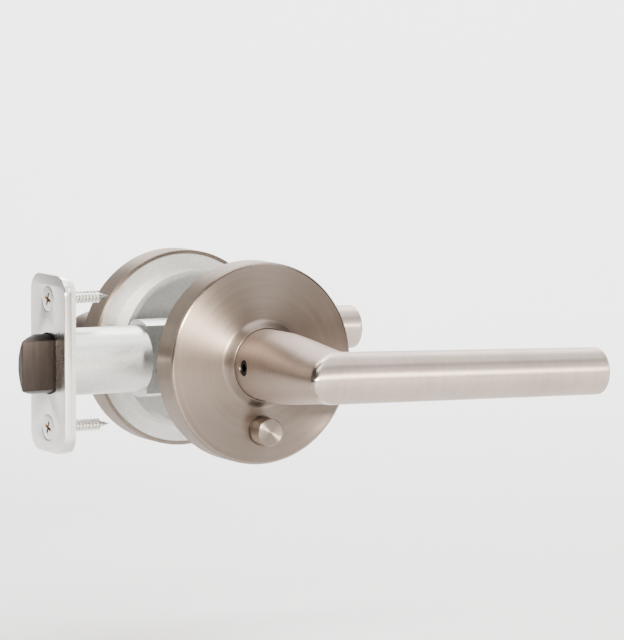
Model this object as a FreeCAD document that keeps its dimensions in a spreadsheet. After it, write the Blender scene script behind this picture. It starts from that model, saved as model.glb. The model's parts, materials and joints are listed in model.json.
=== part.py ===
import FreeCAD, Part
import os
import re

import Sketcher

# Door lever set with a privacy button: two levers on a common square spindle, a rose on each face of the
# door, and a tubular spring latch in the door's edge.
#
# Frame: the origin is on the spindle axis, on the interior face of the door. +Y runs through the door to
# the exterior face, +X along the levers, -X towards the latch, +Z up. Heights above a door face are
# measured outwards from that face, so one set of sizes serves both trims.

DOC = FreeCAD.newDocument("door_lever_set")
SHEET = DOC.addObject("Spreadsheet::Sheet", "sizes")
Vector = FreeCAD.Vector
ALONG_Y = FreeCAD.Rotation(Vector(0, 0, 1), Vector(0, 1, 0))
ALONG_X = FreeCAD.Rotation(Vector(0, 0, 1), Vector(1, 0, 0))

SIZES = (
    # the door that the set is made for
    ("door_thickness", 44.45, "door leaf from face to face"),
    ("backset", 60.325, "edge of the door to the spindle axis"),
    ("cross_bore", 54.0, "bore through the door, diameter"),
    ("edge_bore", 25.4, "bore into the door's edge, diameter"),
    ("sliding_gap", 0.08, "radial gap between parts that turn in each other"),
    ("seat_gap", 0.05, "gap between parts that are fixed to each other"),
    ("overcut", 1.0, "how far a cutting shape runs past what it cuts"),
    # roses
    ("rose_radius", 32.55, "rose, outer radius"),
    ("rose_depth", 10.3, "height of the rose's face above the door"),
    ("rose_wall", 1.2, "sheet thickness of the rose"),
    ("rose_rim_round", 1.0, "rounding between the rose's side and its face"),
    ("neck_gap", 0.2, "lever's neck to the bore of the rose's collar, radial"),
    ("collar_lip", 0.5, "collar, width of its lip"),
    ("collar_flare", 2.1, "collar, width of the slope from its lip to the rose's face"),
    ("collar_rise", 3.0, "collar, height above the rose's face"),
    ("release_radius", 1.6, "hole for the emergency key in the exterior rose"),
    # chassis plates
    ("chassis_recess", 0.15, "the plate's back stands this far off the door face"),
    ("chassis_plate", 2.25, "thickness of the plate"),
    ("spigot_gap", 0.7, "spigot ring to the cross bore, radial"),
    ("spigot_wall", 1.8, "wall of the spigot ring"),
    ("spigot_depth", 8.0, "reach of the spigot ring into the bore"),
    ("boss_wall", 2.42, "hub boss of the plate, wall round the bush"),
    ("boss_depth", 7.4, "height of the boss above the door"),
    ("clip_thick", 0.9, "rose clips bent out of the plate, thickness"),
    ("clip_width", 9.0, "rose clips, width"),
    ("clip_gap", 0.2, "rose clips to the inside of the rose"),
    ("bolt_spacing", 38.1, "through bolts, centre to centre"),
    ("bolt_radius", 2.1, "through bolts, shank radius"),
    ("bolt_head_radius", 3.5, "through bolts, head radius"),
    ("bolt_head", 2.2, "through bolts, head height"),
    ("bolt_length", 40.0, "through bolts, length under the head"),
    ("bolt_gap", 0.15, "through bolts to their holes, radial"),
    ("post_radius", 3.6, "threaded posts of the exterior plate, radius"),
    ("post_end_gap", 3.0, "end of the posts to the interior face of the door"),
    # bushes, sleeves and what they carry
    ("bush_wall", 1.15, "bush, wall thickness"),
    ("bush_lip", 1.57, "bush, width of its flange beyond its wall"),
    ("bush_flange", 1.2, "bush, flange thickness"),
    ("sleeve_radius", 8.7, "drive sleeve, outer radius"),
    ("sleeve_front", 28.0, "drive sleeve, outer end above the door"),
    ("sleeve_back", 4.2, "drive sleeve, reach into the bore"),
    ("ring_groove", 0.7, "groove for the retaining ring, depth"),
    ("ring_wall", 2.15, "retaining ring, width from its inner to its outer edge"),
    ("ring_thick", 0.9, "retaining ring, thickness"),
    ("ring_opening", 5.0, "retaining ring, gap between its ends"),
    ("thrust_washer", 0.9, "thrust washer, thickness"),
    ("driver_thick", 1.2, "driver plate, thickness"),
    ("driver_lift", 0.2, "driver plate above the chassis boss"),
    ("driver_tab", 3.4, "driver plate, length of its bent tab"),
    ("driver_tab_thick", 0.5, "driver plate, thickness of its bent tab"),
    ("driver_tab_width", 3.2, "driver plate, width of its bent tab"),
    ("driver_tab_gap", 0.25, "bent tab to the return spring that it winds up, radial"),
    ("driver_rim", 0.1, "driver plate, its edge beyond the bent tab"),
    ("return_wire", 1.3, "return spring, wire diameter"),
    ("return_room", 0.95, "return spring to the chassis boss inside it, radial"),
    ("return_turns", 2.0, "return spring, turns"),
    ("return_space", 0.3, "return spring, gap between its turns"),
    ("return_lift", 0.4, "return spring above the chassis plate"),
    # levers
    ("neck_radius", 11.4, "neck, radius where it is round"),
    ("neck_straight", 26.0, "neck, height above the door where it starts to flatten"),
    ("neck_half_width", 12.15, "neck, half width where it meets the bar"),
    ("neck_cover", 0.12, "neck, half height beyond the bar's radius where they meet"),
    ("elbow_round", 2.2, "rounding of the elbow's outer corner"),
    ("bar_out", 56.7, "axis of the bar above the door"),
    ("bar_radius", 8.18, "bar, radius at the spindle axis"),
    ("tip_radius", 7.64, "bar, radius at the tip"),
    ("tip_reach", 97.9, "spindle axis to the tip, along the bar"),
    ("tip_round", 1.0, "rounding of the tip's edge"),
    ("bar_droop", 1.58, "fall of the bar towards its tip, degrees"),
    ("sleeve_end_gap", 0.5, "end of the drive sleeve to the bottom of the lever's bore"),
    ("set_screw_out", 18.5, "set screw axis above the door"),
    ("set_screw_radius", 2.45, "set screw, radius"),
    ("set_screw_gap", 0.15, "set screw to its hole, radial"),
    ("set_screw_depth", 0.4, "outer end of the set screw below the neck's surface"),
    ("set_screw_key", 2.5, "set screw socket, across flats"),
    ("set_screw_bite", 0.7, "flat on the sleeve under the set screw, depth"),
    ("set_screw_land", 7.0, "flat on the sleeve under the set screw, length along the sleeve"),
    ("socket_share", 0.55, "set screw socket, depth as a share of the screw's length"),
    # spindle
    ("spindle_width", 7.0, "square spindle, across flats"),
    ("spindle_gap", 0.1, "spindle to its square holes, each side"),
    ("spindle_stop", 1.0, "end of the spindle inside the sleeve's end"),
    # privacy button and its lock
    ("button_drop", 21.5, "button axis below the spindle axis"),
    ("button_radius", 4.5, "button, radius"),
    ("button_gap", 0.3, "button to its hole in the rose, radial"),
    ("button_out", 16.3, "button's end above the door"),
    ("button_round", 0.5, "rounding of the button's end"),
    ("button_flange_radius", 5.3, "button, flange radius"),
    ("button_flange", 1.2, "button, flange thickness"),
    ("button_bore", 3.4, "button, spring pocket radius"),
    ("button_pocket_end", 12.5, "bottom of the spring pocket above the door"),
    ("button_socket_end", 14.4, "bottom of the rod socket above the door"),
    ("button_rest_gap", 0.2, "button flange to the rose at rest"),
    ("button_wire", 0.5, "button spring, wire diameter"),
    ("button_coil", 2.5, "button spring, mean radius"),
    ("button_turns", 6.0, "button spring, turns"),
    ("rod_radius", 1.5, "lock rod, radius"),
    ("rod_gap", 0.3, "lock rod to its holes in the plates, radial"),
    ("press_gap", 0.02, "a pressed pin or rod to its hole, radial"),
    ("dog_lift", 0.2, "lock dog above the exterior chassis plate"),
    ("dog_thick", 1.2, "lock dog, thickness"),
    ("dog_width", 5.0, "lock dog, width"),
    ("dog_gap", 0.25, "lock dog to the rim of the driver plate"),
    ("dog_tail", 2.4, "lock dog beyond the rod axis"),
    ("rod_clip_radius", 2.5, "push-on clip of the lock rod, radius"),
    ("rod_clip_thick", 0.8, "push-on clip of the lock rod, thickness"),
    # latch
    ("plate_height", 57.15, "faceplate, height"),
    ("plate_width", 25.4, "faceplate, width"),
    ("plate_thick", 2.4, "faceplate, thickness"),
    ("plate_corner", 6.35, "faceplate, corner radius"),
    ("flange_thick", 1.6, "flange of the latch case, thickness"),
    ("flange_inset", 0.3, "flange of the latch case inside the faceplate's outline"),
    ("screw_spacing", 41.3, "faceplate screws, centre to centre"),
    ("screw_radius", 2.0, "faceplate screws, shank radius"),
    ("screw_head_radius", 4.1, "faceplate screws, head radius"),
    ("screw_length", 22.0, "faceplate screws, length"),
    ("screw_point", 0.2, "faceplate screws, radius of the point"),
    ("screw_gap", 0.2, "faceplate screws to their holes, radial"),
    ("recess_width", 1.0, "cross recess of a screw, arm width"),
    ("recess_reach", 2.1, "cross recess of a screw, arm length"),
    ("recess_depth", 1.5, "cross recess of a screw, depth"),
    ("latch_radius", 9.5, "latch bolt, radius"),
    ("latch_flat", 5.3, "latch bolt axis to its flat side"),
    ("latch_throw", 11.35, "latch bolt beyond the faceplate at rest"),
    ("latch_tail", 14.35, "latch bolt's nose to the back of its head, beyond the throw"),
    ("latch_gap", 0.3, "latch bolt to the holes it slides in"),
    ("bevel_swell", 6.5, "curved bevel of the latch bolt, radius beyond the bolt's own"),
    ("bevel_land", 3.3, "flat land at the nose of the latch bolt"),
    ("tail_length", 6.5, "tongue behind the latch bolt's head, length"),
    ("tail_half_width", 3.1, "tongue, half width"),
    ("tail_half_height", 6.0, "tongue, half height"),
    ("mouth_lip", 0.4, "latch case, lip of its mouth that guides the bolt"),
    ("tube_wall", 1.0, "latch case, wall of its tube"),
    ("tube_end", 28.0, "spindle axis to the inner end of the tube"),
    ("case_gap", 0.1, "latch case to the edge bore, radial"),
    ("case_wall", 0.8, "latch case, wall of its flat part"),
    ("case_half_width", 6.0, "latch case, half width of its flat part"),
    ("case_end", 14.0, "latch case beyond the spindle axis"),
    ("post_gap", 0.3, "posts to their holes in the latch case"),
    ("hub_radius", 6.4, "latch hub, radius"),
    ("hub_gap", 0.2, "latch hub to its holes in the case"),
    ("hub_proud", 0.4, "latch hub beyond the case, each side"),
    ("arm_reach", 12.0, "latch hub arms, axis to the centre of their round ends"),
    ("arm_half_width", 1.5, "latch hub arms, half width"),
    ("arm_half_depth", 2.5, "latch hub arms, half depth along the spindle"),
    ("arm_lean", 30.0, "lean of the arms towards the latch bolt, degrees"),
    ("arm_gap", 0.15, "arm to the retractor's lip at rest"),
    ("window_gap", 0.4, "arms to the sides of the windows in the case"),
    ("window_room", 1.0, "arms to the ends of the windows in the case"),
    ("retractor_thick", 0.8, "retractor, sheet thickness"),
    ("retractor_gap", 0.1, "retractor to the tongue of the bolt, each side"),
    ("prong_low", 6.9, "retractor prongs, lower edge from the axis"),
    ("prong_high", 8.4, "retractor prongs, upper edge from the axis"),
    ("lip_low", 9.3, "retractor lips, lower edge from the axis"),
    ("lip_high", 10.8, "retractor lips, upper edge from the axis"),
    ("lip_thick", 1.4, "retractor lips, thickness"),
    ("ear_length", 3.2, "ears that carry the lips, length"),
    ("cheek_gap", 0.2, "retractor to the back of the latch bolt's head"),
    ("pin_radius", 1.2, "bolt pin, radius"),
    ("coil_wire", 1.0, "latch bolt spring, wire diameter"),
    ("coil_radius", 3.8, "latch bolt spring, mean radius"),
    ("coil_turns", 9.0, "latch bolt spring, turns"),
    ("spring_seat", 1.0, "seat plate of the latch bolt spring, thickness"),
    ("spring_seat_half_height", 6.4, "seat plate, half height"),
)

# Each trim: name, direction that leads away from the door along Y, and the door face it stands on.
INTERIOR = ("interior", -1, "0")
EXTERIOR = ("exterior", 1, "door_thickness")
TRIMS = (INTERIOR, EXTERIOR)
BOLT_AXES = ("bolt_spacing / 2", "-bolt_spacing / 2")
SCREW_AXES = (("upper", "screw_spacing / 2"), ("lower", "-screw_spacing / 2"))

# Sizes that follow from the ones above, in the sheet's own terms.
ROSE_INSIDE = "(rose_depth - rose_wall)"
ROSE_BORE = "(rose_radius - rose_wall)"
COLLAR_BORE = "(neck_radius + neck_gap)"
COLLAR_LIP = "(neck_radius + neck_gap + collar_lip)"
COLLAR_FOOT = "(neck_radius + neck_gap + collar_lip + collar_flare)"
COLLAR_TOP = "(rose_depth + collar_rise)"
PLATE_FACE = "(chassis_recess + chassis_plate)"
SPIGOT_RADIUS = "(cross_bore / 2 - spigot_gap)"
CLIP_BACK = "sqrt((rose_radius - rose_wall - clip_gap) ^ 2 - (clip_width / 2) ^ 2)"
BUSH_BORE = "(sleeve_radius + sliding_gap)"
BUSH_RADIUS = "(sleeve_radius + sliding_gap + bush_wall)"
BUSH_FLANGE_RADIUS = "(sleeve_radius + sliding_gap + bush_wall + bush_lip)"
BUSH_FLANGE_BACK = "(chassis_recess - bush_flange)"
BOSS_BORE = "(sleeve_radius + sliding_gap + bush_wall + seat_gap)"
BOSS_RADIUS = "(sleeve_radius + sliding_gap + bush_wall + seat_gap + boss_wall)"
GROOVE_RADIUS = "(sleeve_radius - ring_groove)"
GROOVE_FACE = "(chassis_recess - bush_flange - 2 * seat_gap - thrust_washer)"
RING_RADIUS = "(sleeve_radius - ring_groove + seat_gap + ring_wall)"
RETURN_RADIUS = "(%s + return_room + return_wire / 2)" % BOSS_RADIUS
TAB_INSIDE = "(%s + return_wire / 2 + driver_tab_gap)" % RETURN_RADIUS
TAB_OUTSIDE = "(%s + driver_tab_thick)" % TAB_INSIDE
DRIVER_RADIUS = "(%s + driver_rim)" % TAB_OUTSIDE
DRIVER_FOOT = "(boss_depth + driver_lift)"
NECK_FOOT = "(boss_depth + driver_lift + driver_thick)"
NECK_HALF_HEIGHT = "(bar_radius + neck_cover)"
LEVER_BORE_END = "(sleeve_front + sleeve_end_gap)"
SLEEVE_FLAT = "(sleeve_radius - set_screw_bite)"
SQUARE_HALF = "(spindle_width / 2 + spindle_gap)"
ROD_PRESS = "(rod_radius + press_gap)"
LATCH_MIDDLE = "(door_thickness / 2)"
PLATE_BACK = "(plate_thick - backset)"
FLANGE_BACK = "(plate_thick + flange_thick - backset)"
SCREW_HEAD = "(screw_head_radius - screw_radius)"
SCREW_HOLE = "(screw_radius + screw_gap)"
BOLT_HOLE = "(latch_radius + latch_gap)"
BEVEL_RADIUS = "(latch_radius + bevel_swell)"
NOSE = "(-backset - latch_throw)"
HEAD_BACK = "(latch_tail - backset - latch_throw)"
TAIL_BACK = "(latch_tail + tail_length - backset - latch_throw)"
CHEEK_INSIDE = "(tail_half_width + retractor_gap)"
CHEEK_OUTSIDE = "(tail_half_width + retractor_gap + retractor_thick)"
LIP_FACE = "(arm_half_width / cos(arm_lean * 1 deg) - lip_low * tan(arm_lean * 1 deg) + arm_gap)"
TUBE_BORE = "max(%s; sqrt(prong_high ^ 2 + %s ^ 2) + latch_gap)" % (BOLT_HOLE, CHEEK_OUTSIDE)
CASE_RADIUS = "(edge_bore / 2 - case_gap)"
SEAT_FACE = "(case_wall / 2 - tube_end + 2 * seat_gap)"
SPRING_POCKET = "(case_half_width - case_wall)"

# A pocket that takes away less than this volume has missed. Lengths closer than this are the same.
LEAST_CUT = 0.1
SAME = 1e-4

PIECES = []


def fill_sheet():
    for row, (alias, value, note) in enumerate(SIZES, start=1):
        SHEET.set("A%d" % row, alias)
        SHEET.set("B%d" % row, str(value))
        SHEET.set("C%d" % row, note)
        SHEET.setAlias("B%d" % row, alias)
    DOC.recompute()


def size(alias):
    return float(SHEET.get(alias))


def linked(rule):
    """The rule with each alias written as a reference to the sheet."""
    aliases = {alias for alias, _, _ in SIZES}
    return re.sub(r"[a-z][a-z_]+", lambda m: "sizes." + m[0] if m[0] in aliases else m[0], rule)


def value_of(rule):
    return float(SHEET.evalExpression(linked(rule)))


def bind(obj, **rules):
    for name, rule in rules.items():
        obj.setExpression(name, linked(rule))
    return obj


def place(obj, where):
    for axis, rule in zip("xyz", where):
        if rule != "0":
            obj.setExpression("Placement.Base." + axis, linked(rule))
    return obj


def out(trim, rule):
    """Y of a point at this height above the trim's door face."""
    _, away, face = trim
    return "(%s) + (%d) * (%s)" % (face, away, rule)


def keep(obj, label):
    """Makes the object a sub-part of its own, written out under this label."""
    obj.Label = label
    PIECES.append(obj)
    return obj


# ---------------------------------------------------------------- Part workbench helpers


def make(kind, name):
    return DOC.addObject("Part::" + kind, name)


def rod(name, along, radius, length, start):
    """Cylinder along X or Y from its start."""
    obj = make("Cylinder", name)
    obj.Placement = FreeCAD.Placement(Vector(), {"x": ALONG_X, "y": ALONG_Y}[along])
    bind(obj, Radius=radius, Height=length)
    return place(obj, start)


def block(name, low, lengths):
    """Box from its low corner."""
    obj = bind(make("Box", name), Length=lengths[0], Width=lengths[1], Height=lengths[2])
    return place(obj, low)


def centred_block(name, x_low, x_length, middle_y, half_y, half_z):
    low = (x_low, "%s - (%s)" % (middle_y, half_y), "-(%s)" % half_z)
    return block(name, low, (x_length, "2 * (%s)" % half_y, "2 * (%s)" % half_z))


def join(name, shapes):
    obj = make("MultiFuse", name)
    obj.Shapes = shapes
    return obj


def overlap(name, shapes):
    obj = make("MultiCommon", name)
    obj.Shapes = shapes
    return obj


def cut(name, base, tools):
    obj = make("Cut", name)
    obj.Base = base
    obj.Tool = tools[0] if len(tools) == 1 else join(name + "_tools", tools)
    return obj


def coil(name, along, radius, wire, start, length, turns):
    """Compression or torsion spring: a round wire swept along a helix."""
    turn = {"x": ALONG_X, "y": ALONG_Y}[along]
    helix = make("Helix", name + "_path")
    helix.Placement = FreeCAD.Placement(Vector(), turn)
    bind(helix, Pitch="(%s) / (%s)" % (length, turns), Height=length, Radius=radius)
    helix.SegmentLength = 1
    place(helix, start)
    wire_end = make("Circle", name + "_wire")
    lie = turn.multiply(FreeCAD.Rotation(Vector(1, 0, 0), 90))
    wire_end.Placement = FreeCAD.Placement(Vector(), lie)
    bind(wire_end, Radius=wire)
    DOC.recompute()
    first = helix.Shape.Edges[0]
    offset = first.valueAt(first.FirstParameter) - helix.Placement.Base
    across = "x" if abs(offset.x) > abs(offset.z) else "z"
    sign = 1 if getattr(offset, across) > 0 else -1
    where = list(start)
    index = "xyz".index(across)
    where[index] = "(%s) + (%d) * (%s)" % (where[index], sign, radius)
    place(wire_end, where)
    spring = make("Sweep", name + "_coil")
    spring.Sections = [wire_end]
    spring.Spine = (helix, [])
    spring.Solid = True
    spring.Frenet = True
    return spring


# ---------------------------------------------------------------- PartDesign helpers


def new_body(label, face="0"):
    body = DOC.addObject("PartDesign::Body", label)
    return place(keep(body, label), ("0", face, "0"))


def new_sketch(body, role, lift="0"):
    """Sketch on one of the body's own origin planes, moved along the plane's normal."""
    sketch = body.newObject("Sketcher::SketchObject", body.Label + "_outline")
    support = [f for f in body.Origin.OriginFeatures if f.Role == role][0]
    sketch.AttachmentSupport = (support, [""])
    sketch.MapMode = "FlatFace"
    if lift != "0":
        sketch.setExpression("AttachmentOffset.Base.z", linked(lift))
    return sketch


def pin_point(sketch, geometry, point, corner):
    """Holds a point of the sketch at the place that the two rules give."""
    for kind, axis, rule in (("DistanceX", -2, corner[0]), ("DistanceY", -1, corner[1])):
        amount = value_of(rule)
        if abs(amount) < SAME:
            sketch.addConstraint(Sketcher.Constraint("PointOnObject", geometry, point, axis))
            continue
        rule_at = sketch.addConstraint(
            Sketcher.Constraint(kind, -1, 1, geometry, point, amount)
        )
        sketch.setExpression("Constraints[%d]" % rule_at, linked(rule))


def polygon(sketch, corners):
    """Closed outline through corners that are given as pairs of rules."""
    points = [Vector(value_of(a), value_of(b), 0) for a, b in corners]
    first = sketch.GeometryCount
    count = len(points)
    for i in range(count):
        sketch.addGeometry(Part.LineSegment(points[i], points[(i + 1) % count]), False)
    for i in range(count):
        end = Sketcher.Constraint("Coincident", first + i, 2, first + (i + 1) % count, 1)
        sketch.addConstraint(end)
    for i, corner in enumerate(corners):
        pin_point(sketch, first + i, 1, corner)


def circle(sketch, centre, radius):
    middle = Vector(value_of(centre[0]), value_of(centre[1]), 0)
    ring = Part.Circle(middle, Vector(0, 0, 1), value_of(radius))
    geometry = sketch.addGeometry(ring, False)
    at = sketch.addConstraint(Sketcher.Constraint("Radius", geometry, value_of(radius)))
    sketch.setExpression("Constraints[%d]" % at, linked(radius))
    pin_point(sketch, geometry, 3, centre)


def feature(body, kind, sketch, **rules):
    obj = body.newObject("PartDesign::" + kind, body.Label + "_" + kind.lower())
    obj.Profile = sketch
    return bind(obj, **rules)


def turned(label, trim, profile):
    """Body turned about the Y axis from (radius, height above the door face) corners."""
    _, away, face = trim
    body = new_body(label, face)
    sketch = new_sketch(body, "XY_Plane")
    polygon(sketch, [(radius, "(%d) * (%s)" % (away, height)) for radius, height in profile])
    revolution = feature(body, "Revolution", sketch)
    revolution.ReferenceAxis = (sketch, ["V_Axis"])
    revolution.Angle = 360
    DOC.recompute()
    return body


def padded(body, draw, trim, foot, thick):
    """Pad along Y, outwards from the door, between two heights above the door face."""
    _, away, _ = trim
    sketch = new_sketch(body, "XZ_Plane", "(%d) * (%s)" % (-away, foot))
    draw(sketch)
    pad = feature(body, "Pad", sketch, Length=thick)
    pad.Reversed = away > 0
    DOC.recompute()
    return pad


def drilled(body, draw):
    """Pocket right through the body along Y. It must take some material away."""
    before = body.Shape.Volume
    sketch = new_sketch(body, "XZ_Plane")
    draw(sketch)
    pocket = feature(body, "Pocket", sketch)
    pocket.Type = "ThroughAll"
    pocket.Midplane = True
    DOC.recompute()
    if body.Shape.Volume > before - LEAST_CUT:
        raise RuntimeError("the pocket missed " + body.Label)
    return pocket


def rounded(body, radius, wanted):
    """Fillet on the edges for which wanted(edge) is true."""
    tip = body.Tip
    edges = ["Edge%d" % (i + 1) for i, edge in enumerate(tip.Shape.Edges) if wanted(edge)]
    if not edges:
        raise RuntimeError("no edge to round on " + body.Label)
    fillet = body.newObject("PartDesign::Fillet", body.Label + "_fillet")
    fillet.Base = (tip, edges)
    bind(fillet, Radius=radius)
    DOC.recompute()
    return fillet


def is_ring(edge, radius, height=None):
    """True for a circular edge of this radius, at this height along Y if one is given."""
    if not isinstance(edge.Curve, Part.Circle) or abs(edge.Curve.Radius - radius) > SAME:
        return False
    return height is None or abs(edge.Curve.Center.y - height) < SAME


# ---------------------------------------------------------------- trims: what is fixed to the door


def rose(trim):
    name, away, _ = trim
    profile = (
        ("rose_radius", "0"),
        ("rose_radius", "rose_depth"),
        (COLLAR_FOOT, "rose_depth"),
        (COLLAR_LIP, COLLAR_TOP),
        (COLLAR_BORE, COLLAR_TOP),
        (COLLAR_BORE, ROSE_INSIDE),
        (ROSE_BORE, ROSE_INSIDE),
        (ROSE_BORE, "0"),
    )
    body = turned(name + "_rose", trim, profile)
    hole = "button_radius + button_gap" if trim is INTERIOR else "release_radius"
    drilled(body, lambda sketch: circle(sketch, ("0", "-button_drop"), hole))
    face = away * size("rose_depth")
    rounded(body, "rose_rim_round", lambda edge: is_ring(edge, size("rose_radius"), face))


def chassis(trim):
    """Plate with a spigot ring in the cross bore, a boss round the bush, and clips that hold the rose."""
    name, _, _ = trim
    clip_outer = "rose_radius - rose_wall - 2 * seat_gap"
    spigot_inside = SPIGOT_RADIUS + " - spigot_wall"
    profile = (
        (BOSS_BORE, "chassis_recess"),
        (spigot_inside, "chassis_recess"),
        (spigot_inside, "-spigot_depth"),
        (SPIGOT_RADIUS, "-spigot_depth"),
        (SPIGOT_RADIUS, "chassis_recess"),
        (clip_outer, "chassis_recess"),
        (clip_outer, PLATE_FACE),
        (BOSS_RADIUS, PLATE_FACE),
        (BOSS_RADIUS, "boss_depth"),
        (BOSS_BORE, "boss_depth"),
    )
    body = turned(name + "_chassis", trim, profile)

    def clip(sketch):
        low = CLIP_BACK + " - clip_thick"
        half = "clip_width / 2"
        corners = (("-" + half, low), (half, low), (half, CLIP_BACK), ("-" + half, CLIP_BACK))
        polygon(sketch, corners)

    first = padded(body, clip, trim, PLATE_FACE, "%s - %s" % (ROSE_INSIDE, PLATE_FACE))
    pattern = body.newObject("PartDesign::PolarPattern", body.Label + "_clips")
    pattern.Originals = [first]
    pattern.Axis = (first.Profile[0], ["N_Axis"])
    pattern.Angle = 360
    pattern.Occurrences = 3
    body.Tip = pattern
    DOC.recompute()

    if trim is EXTERIOR:
        sketch = new_sketch(body, "XZ_Plane", "-%s / 2" % PLATE_FACE)
        for x in BOLT_AXES:
            circle(sketch, (x, "0"), "post_radius")
        feature(body, "Pad", sketch, Length="door_thickness - post_end_gap + %s / 2" % PLATE_FACE)
        DOC.recompute()

    def holes(sketch):
        for x in BOLT_AXES:
            circle(sketch, (x, "0"), "bolt_radius + bolt_gap")
        circle(sketch, ("0", "-button_drop"), "rod_radius + rod_gap")

    drilled(body, holes)


def bush(trim):
    name, _, _ = trim
    profile = (
        (BUSH_BORE, "boss_depth"),
        (BUSH_RADIUS, "boss_depth"),
        (BUSH_RADIUS, "chassis_recess"),
        (BUSH_FLANGE_RADIUS, "chassis_recess"),
        (BUSH_FLANGE_RADIUS, BUSH_FLANGE_BACK),
        (BUSH_BORE, BUSH_FLANGE_BACK),
    )
    turned(name + "_bush", trim, profile)


def flat_ring(label, trim, inner, outer, near, thick):
    """Washer about the spindle axis, from its side near the door face inwards."""
    far = "%s - %s" % (near, thick)
    return turned(label, trim, ((inner, near), (outer, near), (outer, far), (inner, far)))


def thrust_washer(trim):
    near = BUSH_FLANGE_BACK + " - seat_gap"
    inner = "sleeve_radius + 2 * sliding_gap"
    flat_ring(trim[0] + "_thrust_washer", trim, inner, BUSH_FLANGE_RADIUS, near, "thrust_washer")


def return_spring(trim):
    """Torsion spring round the chassis boss."""
    name, away, _ = trim
    foot = PLATE_FACE + " + return_lift + return_wire / 2"
    rise = "return_turns * (return_wire + return_space)"
    start = ("0", out(trim, foot if away > 0 else foot + " + " + rise), "0")
    spring = coil(name + "_return", "y", RETURN_RADIUS, "return_wire / 2", start, rise, "return_turns")
    keep(spring, name + "_return_spring")


def through_bolts():
    """Two machine screws from the interior plate into the posts of the exterior plate."""
    bolts = []
    head_foot = "-%s - bolt_head" % PLATE_FACE
    for side, x in zip(("far", "near"), BOLT_AXES):
        head = rod(side + "_bolt_head", "y", "bolt_head_radius", "bolt_head", (x, head_foot, "0"))
        low = (x + " - bolt_head_radius", head_foot, "-recess_width / 2")
        groove = block(side + "_bolt_slot", low, ("2 * bolt_head_radius", "bolt_head / 2", "recess_width"))
        slotted = cut(side + "_slotted_head", head, [groove])
        start = (x, "-" + PLATE_FACE, "0")
        shank = rod(side + "_bolt_shank", "y", "bolt_radius", "bolt_length", start)
        bolts.append(join(side + "_bolt", [slotted, shank]))
    pair = make("Compound", "bolt_pair")
    pair.Links = bolts
    keep(pair, "through_bolts")


# ---------------------------------------------------------------- levers and what turns with them


def square(sketch):
    low = "-" + SQUARE_HALF
    polygon(sketch, ((low, low), (SQUARE_HALF, low), (SQUARE_HALF, SQUARE_HALF), (low, SQUARE_HALF)))


def sleeve(trim):
    """Tube that turns in the bush, with a square hole, a ring groove and a flat for the set screw."""
    name, away, _ = trim
    groove_low = GROOVE_FACE + " - ring_thick - 2 * seat_gap"
    profile = (
        ("0", "sleeve_front"),
        ("sleeve_radius", "sleeve_front"),
        ("sleeve_radius", GROOVE_FACE),
        (GROOVE_RADIUS, GROOVE_FACE),
        (GROOVE_RADIUS, groove_low),
        ("sleeve_radius", groove_low),
        ("sleeve_radius", "-sleeve_back"),
        ("0", "-sleeve_back"),
    )
    body = turned(name + "_sleeve", trim, profile)
    drilled(body, square)
    before = body.Shape.Volume
    sketch = new_sketch(body, "XZ_Plane", "(%d) * (set_screw_out - set_screw_land / 2)" % -away)
    outside = "-sleeve_radius - overcut"
    inside = "-" + SLEEVE_FLAT
    corners = ((outside, "-sleeve_radius"), (inside, "-sleeve_radius"),
               (inside, "sleeve_radius"), (outside, "sleeve_radius"))
    polygon(sketch, corners)
    flat = feature(body, "Pocket", sketch, Length="set_screw_land")
    flat.Reversed = away < 0
    DOC.recompute()
    if body.Shape.Volume > before - LEAST_CUT:
        raise RuntimeError("the set screw flat missed " + body.Label)


def retaining_ring(trim):
    inner = GROOVE_RADIUS + " + seat_gap"
    near = GROOVE_FACE + " - seat_gap"
    body = flat_ring(trim[0] + "_retaining_ring", trim, inner, RING_RADIUS, near, "ring_thick")

    def opening(sketch):
        half = "ring_opening / 2"
        top = RING_RADIUS + " + overcut"
        polygon(sketch, (("-" + half, "0"), (half, "0"), (half, top), ("-" + half, top)))

    drilled(body, opening)


def driver(trim):
    """Plate on the sleeve. Its bent tab winds up the return spring."""
    name, _, face = trim
    body = new_body(name + "_driver", face)

    def disc(sketch):
        circle(sketch, ("0", "0"), DRIVER_RADIUS)

    def tab(sketch):
        half = "driver_tab_width / 2"
        corners = (("-" + half, TAB_INSIDE), (half, TAB_INSIDE),
                   (half, TAB_OUTSIDE), ("-" + half, TAB_OUTSIDE))
        polygon(sketch, corners)

    padded(body, disc, trim, DRIVER_FOOT, "driver_thick")
    padded(body, tab, trim, DRIVER_FOOT + " - driver_tab", "driver_tab + driver_thick / 2")
    drilled(body, lambda sketch: circle(sketch, ("0", "0"), "sleeve_radius + seat_gap"))


def ellipse_at(name, trim, height):
    """The neck's oval outline at this height above the door face."""
    oval = make("Ellipse", name)
    oval.Placement = FreeCAD.Placement(Vector(), ALONG_Y)
    bind(oval, MajorRadius="neck_half_width", MinorRadius=NECK_HALF_HEIGHT)
    return place(oval, ("0", out(trim, height), "0"))


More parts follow.
